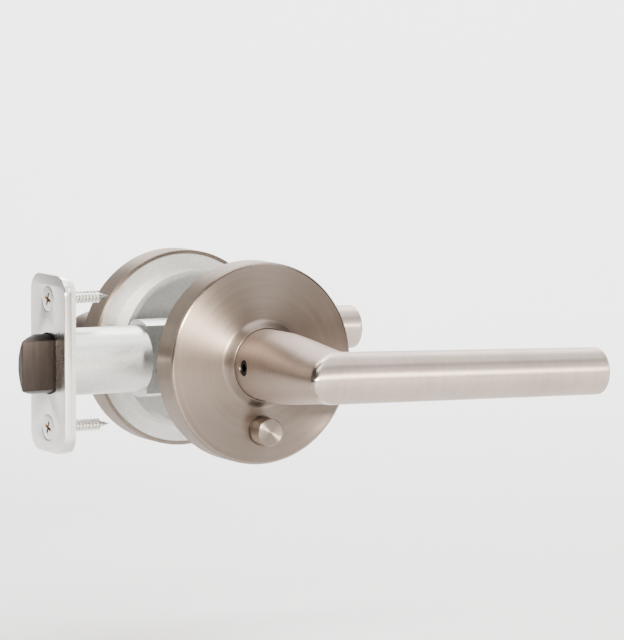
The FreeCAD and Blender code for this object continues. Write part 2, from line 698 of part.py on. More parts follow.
def lever(trim):
    """Round neck that flattens to an oval, and a tapered round bar that grows out of its side."""
    name, away, face = trim
    neck_start = "%s + (%d) * %s" % (face, away, NECK_FOOT)
    neck_end = out(trim, "neck_straight")
    root = rod(name + "_neck_root", "y", "neck_radius", "neck_straight - " + NECK_FOOT,
               ("0", neck_start if away > 0 else neck_end, "0"))

    ring = make("Circle", name + "_neck_ring")
    ring.Placement = FreeCAD.Placement(Vector(), ALONG_Y)
    bind(ring, Radius="neck_radius")
    place(ring, ("0", neck_end, "0"))
    flattened = make("Loft", name + "_neck_flattened")
    flattened.Sections = [ring, ellipse_at(name + "_neck_oval", trim, "bar_out")]
    flattened.Solid = True
    flattened.Ruled = True

    # the round bar, turned about its own axis and then tipped by its droop
    bar = DOC.addObject("PartDesign::Body", name + "_bar")
    bar.Placement = FreeCAD.Placement(Vector(), FreeCAD.Rotation(Vector(0, 1, 0), 1))
    bar.setExpression("Placement.Rotation.Angle", linked("bar_droop * 1 deg"))
    place(bar, ("0", out(trim, "bar_out"), "0"))
    sketch = new_sketch(bar, "XZ_Plane")
    back = "-neck_half_width - overcut"
    profile = ((back, "0"), (back, "bar_radius"), ("0", "bar_radius"), ("tip_reach", "tip_radius"),
               ("tip_reach", "0"))
    polygon(sketch, profile)
    revolution = feature(bar, "Revolution", sketch)
    revolution.ReferenceAxis = (sketch, ["H_Axis"])
    revolution.Angle = 360
    DOC.recompute()
    rounded(bar, "tip_round", lambda edge: is_ring(edge, size("tip_radius")))

    # the elbow's outer corner: the oval carried on past the bar's axis, with a rounded rim
    stub = make("Extrusion", name + "_elbow_stub")
    stub.Base = ellipse_at(name + "_elbow_oval", trim, "bar_out")
    stub.DirMode = "Custom"
    stub.Dir = Vector(0, away, 0)
    stub.Solid = True
    bind(stub, LengthFwd="bar_radius + neck_cover")
    DOC.recompute()
    rim = max(range(len(stub.Shape.Edges)), key=lambda i: away * stub.Shape.Edges[i].CenterOfMass.y)
    corner = make("Fillet", name + "_elbow_corner")
    corner.Base = stub
    corner.Edges = [(rim + 1, size("elbow_round"), size("elbow_round"))]
    beyond = block(name + "_bar_space",
                   ("0", out(trim, "bar_out") + " - 2 * bar_radius", "-4 * bar_radius"),
                   ("tip_reach + overcut", "4 * bar_radius", "8 * bar_radius"))
    arm = overlap(name + "_arm", [bar, join(name + "_arm_limits", [corner, beyond])])

    solid = join(name + "_lever_solid", [root, flattened, arm])
    bore_start = neck_start if away > 0 else out(trim, LEVER_BORE_END)
    bore = rod(name + "_lever_bore", "y", "sleeve_radius + 2 * seat_gap",
               "%s - %s" % (LEVER_BORE_END, NECK_FOOT), ("0", bore_start, "0"))
    screw_hole = rod(name + "_set_screw_hole", "x", "set_screw_radius + set_screw_gap", "neck_radius",
                     ("-neck_radius - overcut", out(trim, "set_screw_out"), "0"))
    keep(cut(name + "_lever_cut", solid, [bore, screw_hole]), name + "_lever")


def set_screw(trim):
    """Headless screw from just under the neck's surface to the sleeve's flat, with a hexagon socket."""
    name, _, _ = trim
    length = "(neck_radius - set_screw_depth - %s)" % SLEEVE_FLAT
    start = ("-neck_radius + set_screw_depth", out(trim, "set_screw_out"), "0")
    screw = rod(name + "_grub", "x", "set_screw_radius", length, start)
    socket = make("Prism", name + "_grub_socket")
    socket.Placement = FreeCAD.Placement(Vector(), ALONG_X)
    socket.Polygon = 6
    bind(socket, Circumradius="set_screw_key / sqrt(3)", Height="socket_share * " + length)
    place(socket, start)
    keep(cut(name + "_grub_cut", screw, [socket]), name + "_set_screw")


def spindle():
    half = "spindle_width / 2"
    reach = "sleeve_front - spindle_stop"
    low = ("-" + half, "-(%s)" % reach, "-" + half)
    body = block("spindle_bar", low, ("spindle_width", "door_thickness + 2 * (%s)" % reach, "spindle_width"))
    keep(body, "spindle")


def hub():
    """Latch hub with two arms that lean towards the latch bolt."""
    depth = "(case_half_width + hub_proud)"
    core = rod("hub_core", "y", "hub_radius", "2 * " + depth, ("0", LATCH_MIDDLE + " - " + depth, "0"))
    shapes = [core]
    arm_side = LATCH_MIDDLE + " - arm_half_depth"
    for side, lean in (("upper", "-arm_lean"), ("lower", "arm_lean - 180")):
        angle = "((%s) * 1 deg)" % lean
        web = make("Box", side + "_arm_web")
        web.Placement = FreeCAD.Placement(Vector(), FreeCAD.Rotation(Vector(0, 1, 0), 1))
        web.setExpression("Placement.Rotation.Angle", linked(angle))
        bind(web, Length="2 * arm_half_width", Width="2 * arm_half_depth", Height="arm_reach")
        place(web, ("-arm_half_width * cos" + angle, arm_side, "arm_half_width * sin" + angle))
        end_start = ("arm_reach * sin" + angle, arm_side, "arm_reach * cos" + angle)
        end = rod(side + "_arm_end", "y", "arm_half_width", "2 * arm_half_depth", end_start)
        shapes += [web, end]
    hole = centred_block("hub_square", "-" + SQUARE_HALF, "2 * " + SQUARE_HALF, LATCH_MIDDLE,
                         depth + " + overcut", SQUARE_HALF)
    keep(cut("hub_cut", join("hub_solid", shapes), [hole]), "latch_hub")


# ---------------------------------------------------------------- privacy button and lock rod


def privacy_button():
    """Button with a flange inside the rose, a spring pocket and a socket for the lock rod."""
    flange_top = ROSE_INSIDE + " - button_rest_gap"
    flange_foot = flange_top + " - button_flange"
    socket = "rod_radius + seat_gap"
    profile = (
        ("0", "button_out"),
        ("button_radius", "button_out"),
        ("button_radius", flange_top),
        ("button_flange_radius", flange_top),
        ("button_flange_radius", flange_foot),
        ("button_bore", flange_foot),
        ("button_bore", "button_pocket_end"),
        (socket, "button_pocket_end"),
        (socket, "button_socket_end"),
        ("0", "button_socket_end"),
    )
    body = turned("privacy_button", INTERIOR, profile)
    rounded(body, "button_round", lambda edge: is_ring(edge, size("button_radius"), -size("button_out")))
    place(body, ("0", "0", "-button_drop"))


def button_spring():
    foot = "button_pocket_end - button_wire / 2 - seat_gap"
    length = "button_pocket_end - %s - button_wire - 2 * seat_gap" % PLATE_FACE
    start = ("0", out(INTERIOR, foot), "-button_drop")
    spring = coil("button_coil", "y", "button_coil", "button_wire / 2", start, length, "button_turns")
    keep(spring, "button_spring")


def lock_rod():
    start = ("0", "-button_socket_end + seat_gap", "-button_drop")
    length = "door_thickness + %s + dog_lift + dog_thick + button_socket_end - seat_gap" % PLATE_FACE
    keep(rod("rod_bar", "y", "rod_radius", length, start), "lock_rod")


def lock_dog():
    """Plate on the rod's far end that rises towards the rim of the exterior driver."""
    foot = "door_thickness + %s + dog_lift" % PLATE_FACE
    low = ("-dog_width / 2", foot, "-button_drop - dog_tail")
    height = "button_drop + dog_tail - %s - dog_gap" % DRIVER_RADIUS
    plate = block("dog_plate", low, ("dog_width", "dog_thick", height))
    hole_start = ("0", foot + " - overcut", "-button_drop")
    hole = rod("dog_hole", "y", ROD_PRESS, "dog_thick + 2 * overcut", hole_start)
    keep(cut("dog_cut", plate, [hole]), "lock_dog")


def rod_clip():
    start = ("0", "button_rest_gap", "-button_drop")
    disc = rod("clip_disc", "y", "rod_clip_radius", "rod_clip_thick", start)
    hole_start = ("0", "button_rest_gap - overcut", "-button_drop")
    hole = rod("clip_hole", "y", ROD_PRESS, "rod_clip_thick + 2 * overcut", hole_start)
    keep(cut("clip_cut", disc, [hole]), "rod_clip")


# ---------------------------------------------------------------- latch


def plate_outline(name, x_low, thick, inset):
    """Upright plate across X with rounded corners."""
    body = DOC.addObject("PartDesign::Body", name)
    place(body, ("0", LATCH_MIDDLE, "0"))
    sketch = new_sketch(body, "YZ_Plane", x_low)
    wide = "(plate_width / 2 - %s)" % inset
    high = "(plate_height / 2 - %s)" % inset
    polygon(sketch, (("-" + wide, "-" + high), (wide, "-" + high), (wide, high), ("-" + wide, high)))
    feature(body, "Pad", sketch, Length=thick)
    DOC.recompute()

    def upright(edge):
        ends = [vertex.Point for vertex in edge.Vertexes]
        return len(ends) == 2 and abs(ends[0].x - ends[1].x) > SAME

    rounded(body, "plate_corner - %s" % inset, upright)
    return body


def latch_bore(name, radius, flat, x_low, length):
    """D-shaped prism along X, flat on the interior side."""
    round_part = rod(name + "_round", "x", radius, length, (x_low, LATCH_MIDDLE, "0"))
    low = (x_low, "%s - (%s)" % (LATCH_MIDDLE, flat), "-edge_bore / 2")
    limit = block(name + "_flat", low, (length, "edge_bore", "edge_bore"))
    return overlap(name, [round_part, limit])


def cone(name, big, small, height, start):
    """Cone along X from its big end."""
    obj = make("Cone", name)
    obj.Placement = FreeCAD.Placement(Vector(), ALONG_X)
    bind(obj, Radius1=big, Radius2=small, Height=height)
    return place(obj, start)


def faceplate():
    plate = plate_outline("faceplate_blank", "-backset", "plate_thick", "0")
    front = "-backset - overcut"
    through = "plate_thick + 2 * overcut"
    opening = latch_bore("faceplate_opening", BOLT_HOLE, "latch_flat + latch_gap", front, through)
    tools = [opening]
    for side, z in SCREW_AXES:
        rim = "(screw_head_radius + screw_gap / 4)"
        sink = cone(side + "_countersink", rim, "screw_radius", rim + " - screw_radius",
                    ("-backset", LATCH_MIDDLE, z))
        hole = rod(side + "_plate_hole", "x", SCREW_HOLE, through, (front, LATCH_MIDDLE, z))
        tools += [sink, hole]
    keep(cut("faceplate_cut", plate, tools), "faceplate")


def faceplate_screws():
    """Countersunk wood screws with a cross recess."""
    screws = []
    point = "2 * screw_radius"
    for side, z in SCREW_AXES:
        head = cone(side + "_screw_head", "screw_head_radius", "screw_radius", SCREW_HEAD,
                    ("-backset", LATCH_MIDDLE, z))
        shank_length = "screw_length - %s - %s" % (SCREW_HEAD, point)
        shank = rod(side + "_screw_shank", "x", "screw_radius", shank_length,
                    ("-backset + " + SCREW_HEAD, LATCH_MIDDLE, z))
        tip = cone(side + "_screw_tip", "screw_radius", "screw_point", point,
                   ("-backset + screw_length - " + point, LATCH_MIDDLE, z))
        arms = []
        for way, half_y, half_z in (("wide", "recess_reach", "recess_width / 2"),
                                    ("high", "recess_width / 2", "recess_reach")):
            low = ("-backset - overcut", "%s - %s" % (LATCH_MIDDLE, half_y), "%s - %s" % (z, half_z))
            lengths = ("recess_depth + overcut", "2 * " + half_y, "2 * " + half_z)
            arms.append(block("%s_recess_%s" % (side, way), low, lengths))
        screws.append(cut(side + "_screw", join(side + "_screw_solid", [head, shank, tip]), arms))
    pair = make("Compound", "screw_pair")
    pair.Links = screws
    keep(pair, "faceplate_screws")


def latch_case():
    """Flanged tube in the edge bore that runs on as a flat case round the hub."""
    flange = plate_outline("case_flange", PLATE_BACK, "flange_thick", "flange_inset")
    tube = rod("case_tube", "x", TUBE_BORE + " + tube_wall", "-tube_end - " + FLANGE_BACK,
               (FLANGE_BACK, LATCH_MIDDLE, "0"))
    flat_length = "tube_end + case_end"
    flat_round = rod("case_flat_round", "x", CASE_RADIUS, flat_length, ("-tube_end", LATCH_MIDDLE, "0"))
    flat_limit = centred_block("case_flat_limit", "-tube_end", flat_length, LATCH_MIDDLE, "case_half_width",
                               "edge_bore")
    flat = overlap("case_flat", [flat_round, flat_limit])
    outside = join("case_outside", [flange, tube, flat])

    front = PLATE_BACK + " - overcut"
    mouth = rod("case_mouth", "x", BOLT_HOLE, "flange_thick + 2 * overcut", (front, LATCH_MIDDLE, "0"))
    hollow = rod("case_hollow", "x", TUBE_BORE, "-tube_end - case_wall - mouth_lip - " + PLATE_BACK,
                 (PLATE_BACK + " + mouth_lip", LATCH_MIDDLE, "0"))
    room_start = "case_wall - tube_end"
    room_length = flat_length + " - 2 * case_wall"
    room_round = rod("case_room_round", "x", CASE_RADIUS + " - case_wall", room_length,
                     (room_start, LATCH_MIDDLE, "0"))
    room_limit = centred_block("case_room_limit", room_start, room_length, LATCH_MIDDLE, SPRING_POCKET,
                               "edge_bore")
    room = overlap("case_room", [room_round, room_limit])
    throat_start = "-tube_end - case_wall - overcut"
    throat_length = "2 * (case_wall + overcut)"
    throat_round = rod("case_throat_round", "x", TUBE_BORE, throat_length, (throat_start, LATCH_MIDDLE, "0"))
    throat_limit = centred_block("case_throat_limit", throat_start, throat_length, LATCH_MIDDLE,
                                 SPRING_POCKET, "edge_bore")
    throat = overlap("case_throat", [throat_round, throat_limit])
    across = "(case_half_width + overcut)"
    low_y = LATCH_MIDDLE + " - " + across
    hub_hole = rod("case_hub_hole", "y", "hub_radius + hub_gap", "2 * " + across, ("0", low_y, "0"))
    post_hole = rod("case_post_hole", "y", "post_radius + post_gap", "2 * " + across,
                    ("-bolt_spacing / 2", low_y, "0"))
    swing = "(arm_reach * sin(arm_lean * 1 deg) + arm_half_width + window_room)"
    windows = centred_block("case_windows", "-" + swing, "2 * " + swing, LATCH_MIDDLE,
                            "arm_half_depth + window_gap", "edge_bore")
    tools = [mouth, hollow, room, throat, hub_hole, post_hole, windows]
    for side, z in SCREW_AXES:
        tools.append(rod(side + "_flange_hole", "x", SCREW_HOLE, "flange_thick + 2 * overcut",
                         (front, LATCH_MIDDLE, z)))
    keep(cut("case_cut", outside, tools), "latch_case")


def latch_bolt():
    """D-shaped head with a curved bevel on the exterior side, and a tongue that the retractor holds."""
    head = latch_bore("bolt_prism", "latch_radius", "latch_flat", NOSE, "latch_tail")
    slope = make("Cylinder", "bolt_bevel")
    slope.Placement = FreeCAD.Placement(Vector(), FreeCAD.Rotation(Vector(0, 0, 1), Vector(1, 1, 0)))
    bind(slope, Radius=BEVEL_RADIUS, Height="4 * edge_bore")
    back_x = "(%s - 2 * edge_bore) / sqrt(2)" % BEVEL_RADIUS
    back_y = "(%s + 2 * edge_bore) / sqrt(2)" % BEVEL_RADIUS
    land_edge = LATCH_MIDDLE + " - latch_flat + bevel_land"
    place(slope, (NOSE + " + " + back_x, land_edge + " - " + back_y, "0"))
    bevelled = overlap("bolt_bevelled", [head, slope])
    tongue = centred_block("bolt_tongue", HEAD_BACK + " - overcut", "tail_length + overcut", LATCH_MIDDLE,
                           "tail_half_width", "tail_half_height")
    pin_hole = pin_rod("bolt_pin_hole", "pin_radius + press_gap", "edge_bore / 2")
    keep(cut("bolt_cut", join("bolt_solid", [bevelled, tongue]), [pin_hole]), "latch_bolt")


def pin_rod(name, radius, half_length):
    """Rod across the middle of the latch bolt's tongue."""
    start = (HEAD_BACK + " + tail_length / 2", LATCH_MIDDLE + " - " + half_length, "0")
    return rod(name, "y", radius, "2 * " + half_length, start)


def bolt_pin():
    keep(pin_rod("pin_bar", "pin_radius", CHEEK_OUTSIDE), "bolt_pin")


def retractor():
    """Fork of bent sheet: a cheek on each side of the bolt's tongue, prongs past the hub, and two lips."""
    lip_end = LIP_FACE + " + lip_thick"
    start = "(%s + cheek_gap)" % HEAD_BACK
    shapes = []
    for side, y_low in (("near", "-" + CHEEK_OUTSIDE), ("far", CHEEK_INSIDE)):
        low_y = "%s + (%s)" % (LATCH_MIDDLE, y_low)
        shapes.append(block(side + "_cheek", (start, low_y, "-prong_high"),
                            ("tail_length - cheek_gap", "retractor_thick", "2 * prong_high")))
        for rank, z_low, ear_low in (("upper", "prong_low", "prong_low"),
                                     ("lower", "-prong_high", "-lip_high")):
            prong = block("%s_%s_prong" % (side, rank), (start, low_y, z_low),
                          ("%s - %s" % (lip_end, start), "retractor_thick", "prong_high - prong_low"))
            ear = block("%s_%s_ear" % (side, rank), (lip_end + " - ear_length", low_y, ear_low),
                        ("ear_length", "retractor_thick", "lip_high - prong_low"))
            shapes += [prong, ear]
    for rank, z_low in (("upper", "lip_low"), ("lower", "-lip_high")):
        shapes.append(block(rank + "_lip", (LIP_FACE, LATCH_MIDDLE + " - " + CHEEK_OUTSIDE, z_low),
                            ("lip_thick", "2 * " + CHEEK_OUTSIDE, "lip_high - lip_low")))
    pin_hole = pin_rod("retractor_pin_hole", "pin_radius + press_gap", "edge_bore / 2")
    keep(cut("retractor_cut", join("retractor_solid", shapes), [pin_hole]), "retractor")


def spring_seat():
    seat = centred_block("seat_plate", SEAT_FACE, "spring_seat", LATCH_MIDDLE, SPRING_POCKET,
                         "spring_seat_half_height")
    keep(seat, "spring_seat")


def bolt_spring():
    start = TAIL_BACK + " + coil_wire / 2 + seat_gap"
    length = "%s - %s - coil_wire - 2 * seat_gap" % (SEAT_FACE, TAIL_BACK)
    where = (start, LATCH_MIDDLE, "0")
    spring = coil("bolt_coil", "x", "coil_radius", "coil_wire / 2", where, length, "coil_turns")
    keep(spring, "bolt_spring")


# ---------------------------------------------------------------- checks and files


def check_all():
    for obj in DOC.Objects:
        if "Invalid" in obj.State or "Error" in obj.State:
            raise RuntimeError("%s failed: %s" % (obj.Label, obj.State))
    for piece in PIECES:
        shape = piece.Shape
        if shape.isNull() or not shape.isValid() or not shape.Solids:
            raise RuntimeError("no valid solid in " + piece.Label)


def write_all():
    os.makedirs("parts", exist_ok=True)
    for piece in PIECES:
        piece.Shape.exportStep(os.path.join("parts", piece.Label + ".step"))


def main():
    fill_sheet()
    for trim in TRIMS:
        for builder in (rose, chassis, bush, thrust_washer, return_spring, sleeve, retaining_ring, driver,
                        lever, set_screw):
            builder(trim)
    for builder in (through_bolts, spindle, hub, privacy_button, button_spring, lock_rod, lock_dog, rod_clip,
                    faceplate, faceplate_screws, latch_case, latch_bolt, bolt_pin, retractor, spring_seat,
                    bolt_spring):
        builder()
    DOC.recompute()
    check_all()
    write_all()


main()
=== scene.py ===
import json
import math

import bmesh
import bpy
from mathutils import Matrix, Vector


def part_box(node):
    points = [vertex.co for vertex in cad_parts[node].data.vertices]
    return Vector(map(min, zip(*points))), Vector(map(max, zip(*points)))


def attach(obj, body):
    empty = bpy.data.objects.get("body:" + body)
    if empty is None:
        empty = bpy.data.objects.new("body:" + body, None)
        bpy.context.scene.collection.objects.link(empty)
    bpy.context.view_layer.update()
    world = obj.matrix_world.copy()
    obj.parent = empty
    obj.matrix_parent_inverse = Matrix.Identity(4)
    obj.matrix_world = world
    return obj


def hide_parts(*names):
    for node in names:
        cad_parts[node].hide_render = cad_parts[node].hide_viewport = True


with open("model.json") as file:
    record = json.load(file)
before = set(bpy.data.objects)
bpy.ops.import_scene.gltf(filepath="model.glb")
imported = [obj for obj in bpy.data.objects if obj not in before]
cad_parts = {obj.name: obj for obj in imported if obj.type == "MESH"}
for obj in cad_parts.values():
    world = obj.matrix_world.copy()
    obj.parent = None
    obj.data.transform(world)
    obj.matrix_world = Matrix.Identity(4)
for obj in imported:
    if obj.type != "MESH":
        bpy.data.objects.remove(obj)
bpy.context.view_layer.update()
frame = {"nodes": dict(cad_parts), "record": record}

bl_info = {
    "name": "Door lever set",
    "version": (1, 0, 0),
    "blender": (4, 5, 0),
    "location": "View3D > Sidebar > Door lever",
    "description": "Builds the visible pieces and finishes of a privacy door lever set around its CAD frame",
    "category": "Object",
}

MM = 0.001
DOOR = frame["record"]["mounts"][1]["pos_m"][1]
TRIMS = (("interior", -1, 0.0), ("exterior", 1, DOOR))
ROSE_LOW, ROSE_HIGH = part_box("interior_rose")
PLATE_LOW, PLATE_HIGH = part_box("faceplate")
LATCH_Y = (PLATE_LOW.y + PLATE_HIGH.y) / 2
LEVER_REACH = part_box("interior_lever")[1].x

# sizes in millimetres that more than one piece or finish uses
BAR_OUT = 56.7  # axis of a lever's bar above its door face
NECK_RADIUS = 11.4
BAR_RADIUS = 8.18
RIM_START = 31.6  # radius where a rose's polished rim begins
COLLAR_FOOT = 14.2  # radius where a rose's collar meets its face
BUTTON_DROP = 21.5  # axis of the privacy button below the spindle's
SET_SCREW_OUT = 18.5  # axis of a set screw above its door face
PLATE_SCREW_HEIGHTS = {"upper": 20.65, "lower": -20.65}  # axes of the faceplate screws from the bolt's
BOLT_RADIUS = 9.5
BOLT_FLAT = 5.3  # flat side of the latch bolt from its axis


# ---------------------------------------------------------------- shader node groups


def new_group(name, inputs, outputs):
    """Node group with these sockets, each a (name, type, default) or (name, type)."""
    group = bpy.data.node_groups.new(name, "ShaderNodeTree")
    for socket in inputs:
        made = group.interface.new_socket(socket[0], in_out="INPUT", socket_type=socket[1])
        if len(socket) > 2:
            made.default_value = socket[2]
    for socket in outputs:
        group.interface.new_socket(socket[0], in_out="OUTPUT", socket_type=socket[1])
    return group


class Wiring:
    """Short calls for adding and linking nodes in one tree."""

    def __init__(self, tree):
        self.tree = tree

    def add(self, kind, **settings):
        node = self.tree.nodes.new(kind)
        for key, value in settings.items():
            setattr(node, key, value)
        return node

    def link(self, start, end):
        self.tree.links.new(start, end)

    def put(self, socket, value):
        if isinstance(value, bpy.types.NodeSocket):
            self.link(value, socket)
        else:
            socket.default_value = value

    def sum(self, operation, *values):
        node = self.add("ShaderNodeMath", operation=operation)
        for socket, value in zip(node.inputs, values):
            self.put(socket, value)
        return node.outputs[0]

    def vector(self, operation, *values):
        node = self.add("ShaderNodeVectorMath", operation=operation)
        for socket, value in zip(node.inputs, values):
            self.put(socket, value)
        return node.outputs[0]

    def split(self, value):
        node = self.add("ShaderNodeSeparateXYZ")
        self.link(value, node.inputs[0])
        return node.outputs

    def combine(self, x, y, z):
        node = self.add("ShaderNodeCombineXYZ")
        for socket, value in zip(node.inputs, (x, y, z)):
            self.put(socket, value)
        return node.outputs[0]

    def span(self, value, low, high, to_low=0.0, to_high=1.0):
        """Smooth change from one value to another between two places."""
        node = self.add("ShaderNodeMapRange", interpolation_type="SMOOTHSTEP")
        for socket, number in zip(node.inputs, (value, low, high, to_low, to_high)):
            self.put(socket, number)
        return node.outputs[0]

    def noise(self, vector, scale, detail=2.0, roughness=0.5):
        node = self.add("ShaderNodeTexNoise")
        self.link(vector, node.inputs["Vector"])
        self.put(node.inputs["Scale"], scale)
        node.inputs["Detail"].default_value = detail
        node.inputs["Roughness"].default_value = roughness
        return node.outputs[0]

    def mix(self, factor, first, second):
        node = self.add("ShaderNodeMix", data_type="RGBA")
        self.put(node.inputs[0], factor)
        self.put(node.inputs[6], first)
        self.put(node.inputs[7], second)
        return node.outputs[2]

    def group(self, group, **values):
        node = self.add("ShaderNodeGroup", node_tree=group)
        for name, value in values.items():
            self.put(node.inputs[name.replace("_", " ").capitalize()], value)
        return node.outputs


def lathe_marks_group():
    """Fine lines left by a lathe or a belt: sharp across the lines, long along them."""
    inputs = (
        ("Across", "NodeSocketFloat"),
        ("Along", "NodeSocketFloat"),
        ("Pitch", "NodeSocketFloat", 0.25),
        ("Length", "NodeSocketFloat", 1.0),
    )
    group = new_group("lathe_marks", inputs, (("Height", "NodeSocketFloat"), ("Streak", "NodeSocketFloat")))
    w = Wiring(group)
    given = w.add("NodeGroupInput").outputs
    fine = w.sum("DIVIDE", given["Across"], given["Pitch"])
    long = w.sum("DIVIDE", given["Along"], given["Length"])
    close = w.noise(w.combine(fine, long, 0.0), 1.0, 4.0, 0.65)
    broad = w.noise(w.combine(w.sum("MULTIPLY", fine, 0.13), w.sum("MULTIPLY", long, 0.6), 7.0), 1.0, 2.0)
    out = w.add("NodeGroupOutput").inputs
    w.link(close, out["Height"])
    w.link(w.sum("ADD", w.sum("MULTIPLY", close, 0.6), w.sum("MULTIPLY", broad, 0.4)), out["Streak"])
    return group


def handling_group():
    """Faint smudges and dust from handling, as a mask from 0 to 1."""
    group = new_group("handling", (("Place", "NodeSocketVector"), ("Size", "NodeSocketFloat", 40.0)),
                      (("Smudge", "NodeSocketFloat"), ("Dust", "NodeSocketFloat")))
    w = Wiring(group)
    given = w.add("NodeGroupInput").outputs
    smudge = w.noise(given["Place"], given["Size"], 3.0)
    dust = w.noise(given["Place"], w.sum("MULTIPLY", given["Size"], 30.0), 1.0)
    out = w.add("NodeGroupOutput").inputs
    w.link(w.span(smudge, 0.4, 0.75), out["Smudge"])
    w.link(w.span(dust, 0.62, 0.78), out["Dust"])
    return group


LATHE_MARKS = lathe_marks_group()
HANDLING = handling_group()


# ---------------------------------------------------------------- materials


def new_metal(name, roughness, anisotropy=0.0):
    """Material with a Principled metal. Returns it, its wiring and the shader node."""
    material = bpy.data.materials.new(name)
    material.use_nodes = True
    wiring = Wiring(material.node_tree)
    shader = material.node_tree.nodes["Principled BSDF"]
    shader.inputs["Metallic"].default_value = 1.0
    shader.inputs["Roughness"].default_value = roughness
    shader.inputs["Anisotropic"].default_value = anisotropy
    shader.inputs["Anisotropic Rotation"].default_value = 0.25
    return material, wiring, shader


def place_in_mm(wiring):
    """Place on the piece, in millimetres from the frame's origin at rest."""
    at = wiring.add("ShaderNodeTexCoord").outputs["Object"]
    return wiring.vector("MULTIPLY", at, (1000.0, 1000.0, 1000.0))


def finish_metal(w, shader, base, pale, marks, handling, rough, relief):
    """Colour, roughness and relief from lathe marks and handling."""
    tone = w.sum("MULTIPLY", w.sum("SUBTRACT", marks["Streak"], 0.5), 1.3)
    colour = w.mix(w.sum("ADD", w.sum("ADD", 0.5, tone), w.sum("MULTIPLY", handling["Smudge"], -0.18)),
                   (*base, 1.0), (*pale, 1.0))
    w.link(colour, shader.inputs["Base Color"])
    spread = w.sum("MULTIPLY", w.sum("SUBTRACT", marks["Streak"], 0.5), 0.2)
    smudged = w.sum("ADD", spread, w.sum("MULTIPLY", handling["Smudge"], 0.05))
    dusty = w.sum("ADD", smudged, w.sum("MULTIPLY", handling["Dust"], 0.05))
    w.put(shader.inputs["Roughness"], w.sum("ADD", rough, dusty))
    bump = w.add("ShaderNodeBump")
    bump.inputs["Strength"].default_value = relief
    bump.inputs["Distance"].default_value = 0.00006
    w.link(marks["Height"], bump.inputs["Height"])
    w.link(bump.outputs[0], shader.inputs["Normal"])


def to_world(w, direction):
    turn = w.add("ShaderNodeVectorTransform", vector_type="VECTOR", convert_from="OBJECT", convert_to="WORLD")
    w.link(direction, turn.inputs[0])
    return turn.outputs[0]


def about_y(w, place, centre_z=0.0):
    """Radius, place round the ring and ring direction about an axis along Y."""
    x, _, z = w.split(place)
    z = w.sum("SUBTRACT", z, centre_z)
    flat = w.combine(x, 0.0, z)
    length = w.add("ShaderNodeVectorMath", operation="LENGTH")
    w.link(flat, length.inputs[0])
    radius = length.outputs["Value"]
    turn = w.sum("ARCTAN2", z, w.sum("MULTIPLY", x, -1.0))
    arc = w.sum("MULTIPLY", turn, 12.0)  # angle to millimetres, at about the neck's radius
    ring = w.vector("NORMALIZE", w.combine(z, 0.0, w.sum("MULTIPLY", x, -1.0)))
    return radius, arc, ring


def turned_nickel(name, base, pale, centre_z=0.0, bright_from=None, pitch=0.22):
    """Satin nickel turned about an axis along Y. On the rim and on the collar it is polished."""
    material, w, shader = new_metal(name, 0.4, 0.9)
    place = place_in_mm(w)
    radius, arc, ring = about_y(w, place, centre_z)
    across = w.sum("ADD", radius, w.split(place)[1])
    marks = w.group(LATHE_MARKS, across=across, along=arc, pitch=pitch, length=14.0)
    handling = w.group(HANDLING, place=place, size=0.045)
    rough = 0.36
    if bright_from is not None:
        rim, collar = bright_from
        on_rim = w.sum("MULTIPLY", w.span(radius, rim, rim + 0.2), w.span(radius, rim + 0.9, rim + 0.7))
        polish = w.sum("ADD", on_rim, w.sum("MULTIPLY", w.span(radius, collar + 0.1, collar - 0.1), 0.2))
        rough = w.sum("SUBTRACT", 0.40, w.sum("MULTIPLY", polish, 0.15))
    finish_metal(w, shader, base, pale, marks, handling, rough, 0.22)
    w.link(to_world(w, ring), shader.inputs["Tangent"])
    return material


def lever_nickel(base, pale):
    """Satin nickel belted round the neck and round the bar, with painted shade that darkens the neck,
    polished at the corner.
    """
    material, w, shader = new_metal("lever_nickel", 0.42, 0.85)
    place = place_in_mm(w)
    x, y, z = w.split(place)
    corner = w.add("ShaderNodeAttribute", attribute_name="corner").outputs["Fac"]
    on_bar = w.add("ShaderNodeAttribute", attribute_name="on_bar").outputs["Fac"]
    along_bar = w.sum("GREATER_THAN", on_bar, 0.5)
    _, neck_arc, neck_ring = about_y(w, place)
    door = DOOR / MM
    middle = w.sum("MULTIPLY", w.sum("SIGN", w.sum("SUBTRACT", y, door / 2)), BAR_OUT)
    face = w.sum("MULTIPLY", w.sum("GREATER_THAN", y, door / 2), door)
    from_axis = w.sum("SUBTRACT", w.sum("SUBTRACT", y, face), middle)
    bar_ring = w.vector("NORMALIZE", w.combine(0.0, w.sum("MULTIPLY", z, -1.0), from_axis))
    bar_arc = w.sum("MULTIPLY", w.sum("ARCTAN2", z, from_axis), 8.0)  # angle to millimetres on the skin
    choose = w.add("ShaderNodeMix", data_type="VECTOR")
    w.link(along_bar, choose.inputs[0])
    w.link(neck_ring, choose.inputs[4])
    w.link(bar_ring, choose.inputs[5])
    pick = w.add("ShaderNodeMix", data_type="VECTOR")
    w.link(along_bar, pick.inputs[0])
    w.link(w.combine(y, neck_arc, 0.0), pick.inputs[4])
    w.link(w.combine(x, bar_arc, 3.0), pick.inputs[5])
    across, along, _ = w.split(pick.outputs[1])
    marks = w.group(LATHE_MARKS, across=across, along=along, pitch=0.2, length=9.0)
    handling = w.group(HANDLING, place=place, size=0.05)
    rough = w.sum("SUBTRACT", 0.42, w.sum("MULTIPLY", corner, 0.22))
    finish_metal(w, shader, base, pale, marks, handling, rough, 0.2)
    colour = shader.inputs["Base Color"].links[0].from_socket
    # painted shade: the neck's colour is multiplied darker than the bar's, in place of the darker reflections
    # on the neck
    neck_painted_shade = (0.68, 0.65, 0.63, 1.0)
    with_painted_shade = w.vector("MULTIPLY", colour, w.mix(on_bar, neck_painted_shade, (1.0, 1.0, 1.0, 1.0)))
    w.link(with_painted_shade, shader.inputs["Base Color"])
    w.link(to_world(w, choose.outputs[1]), shader.inputs["Tangent"])
    return material


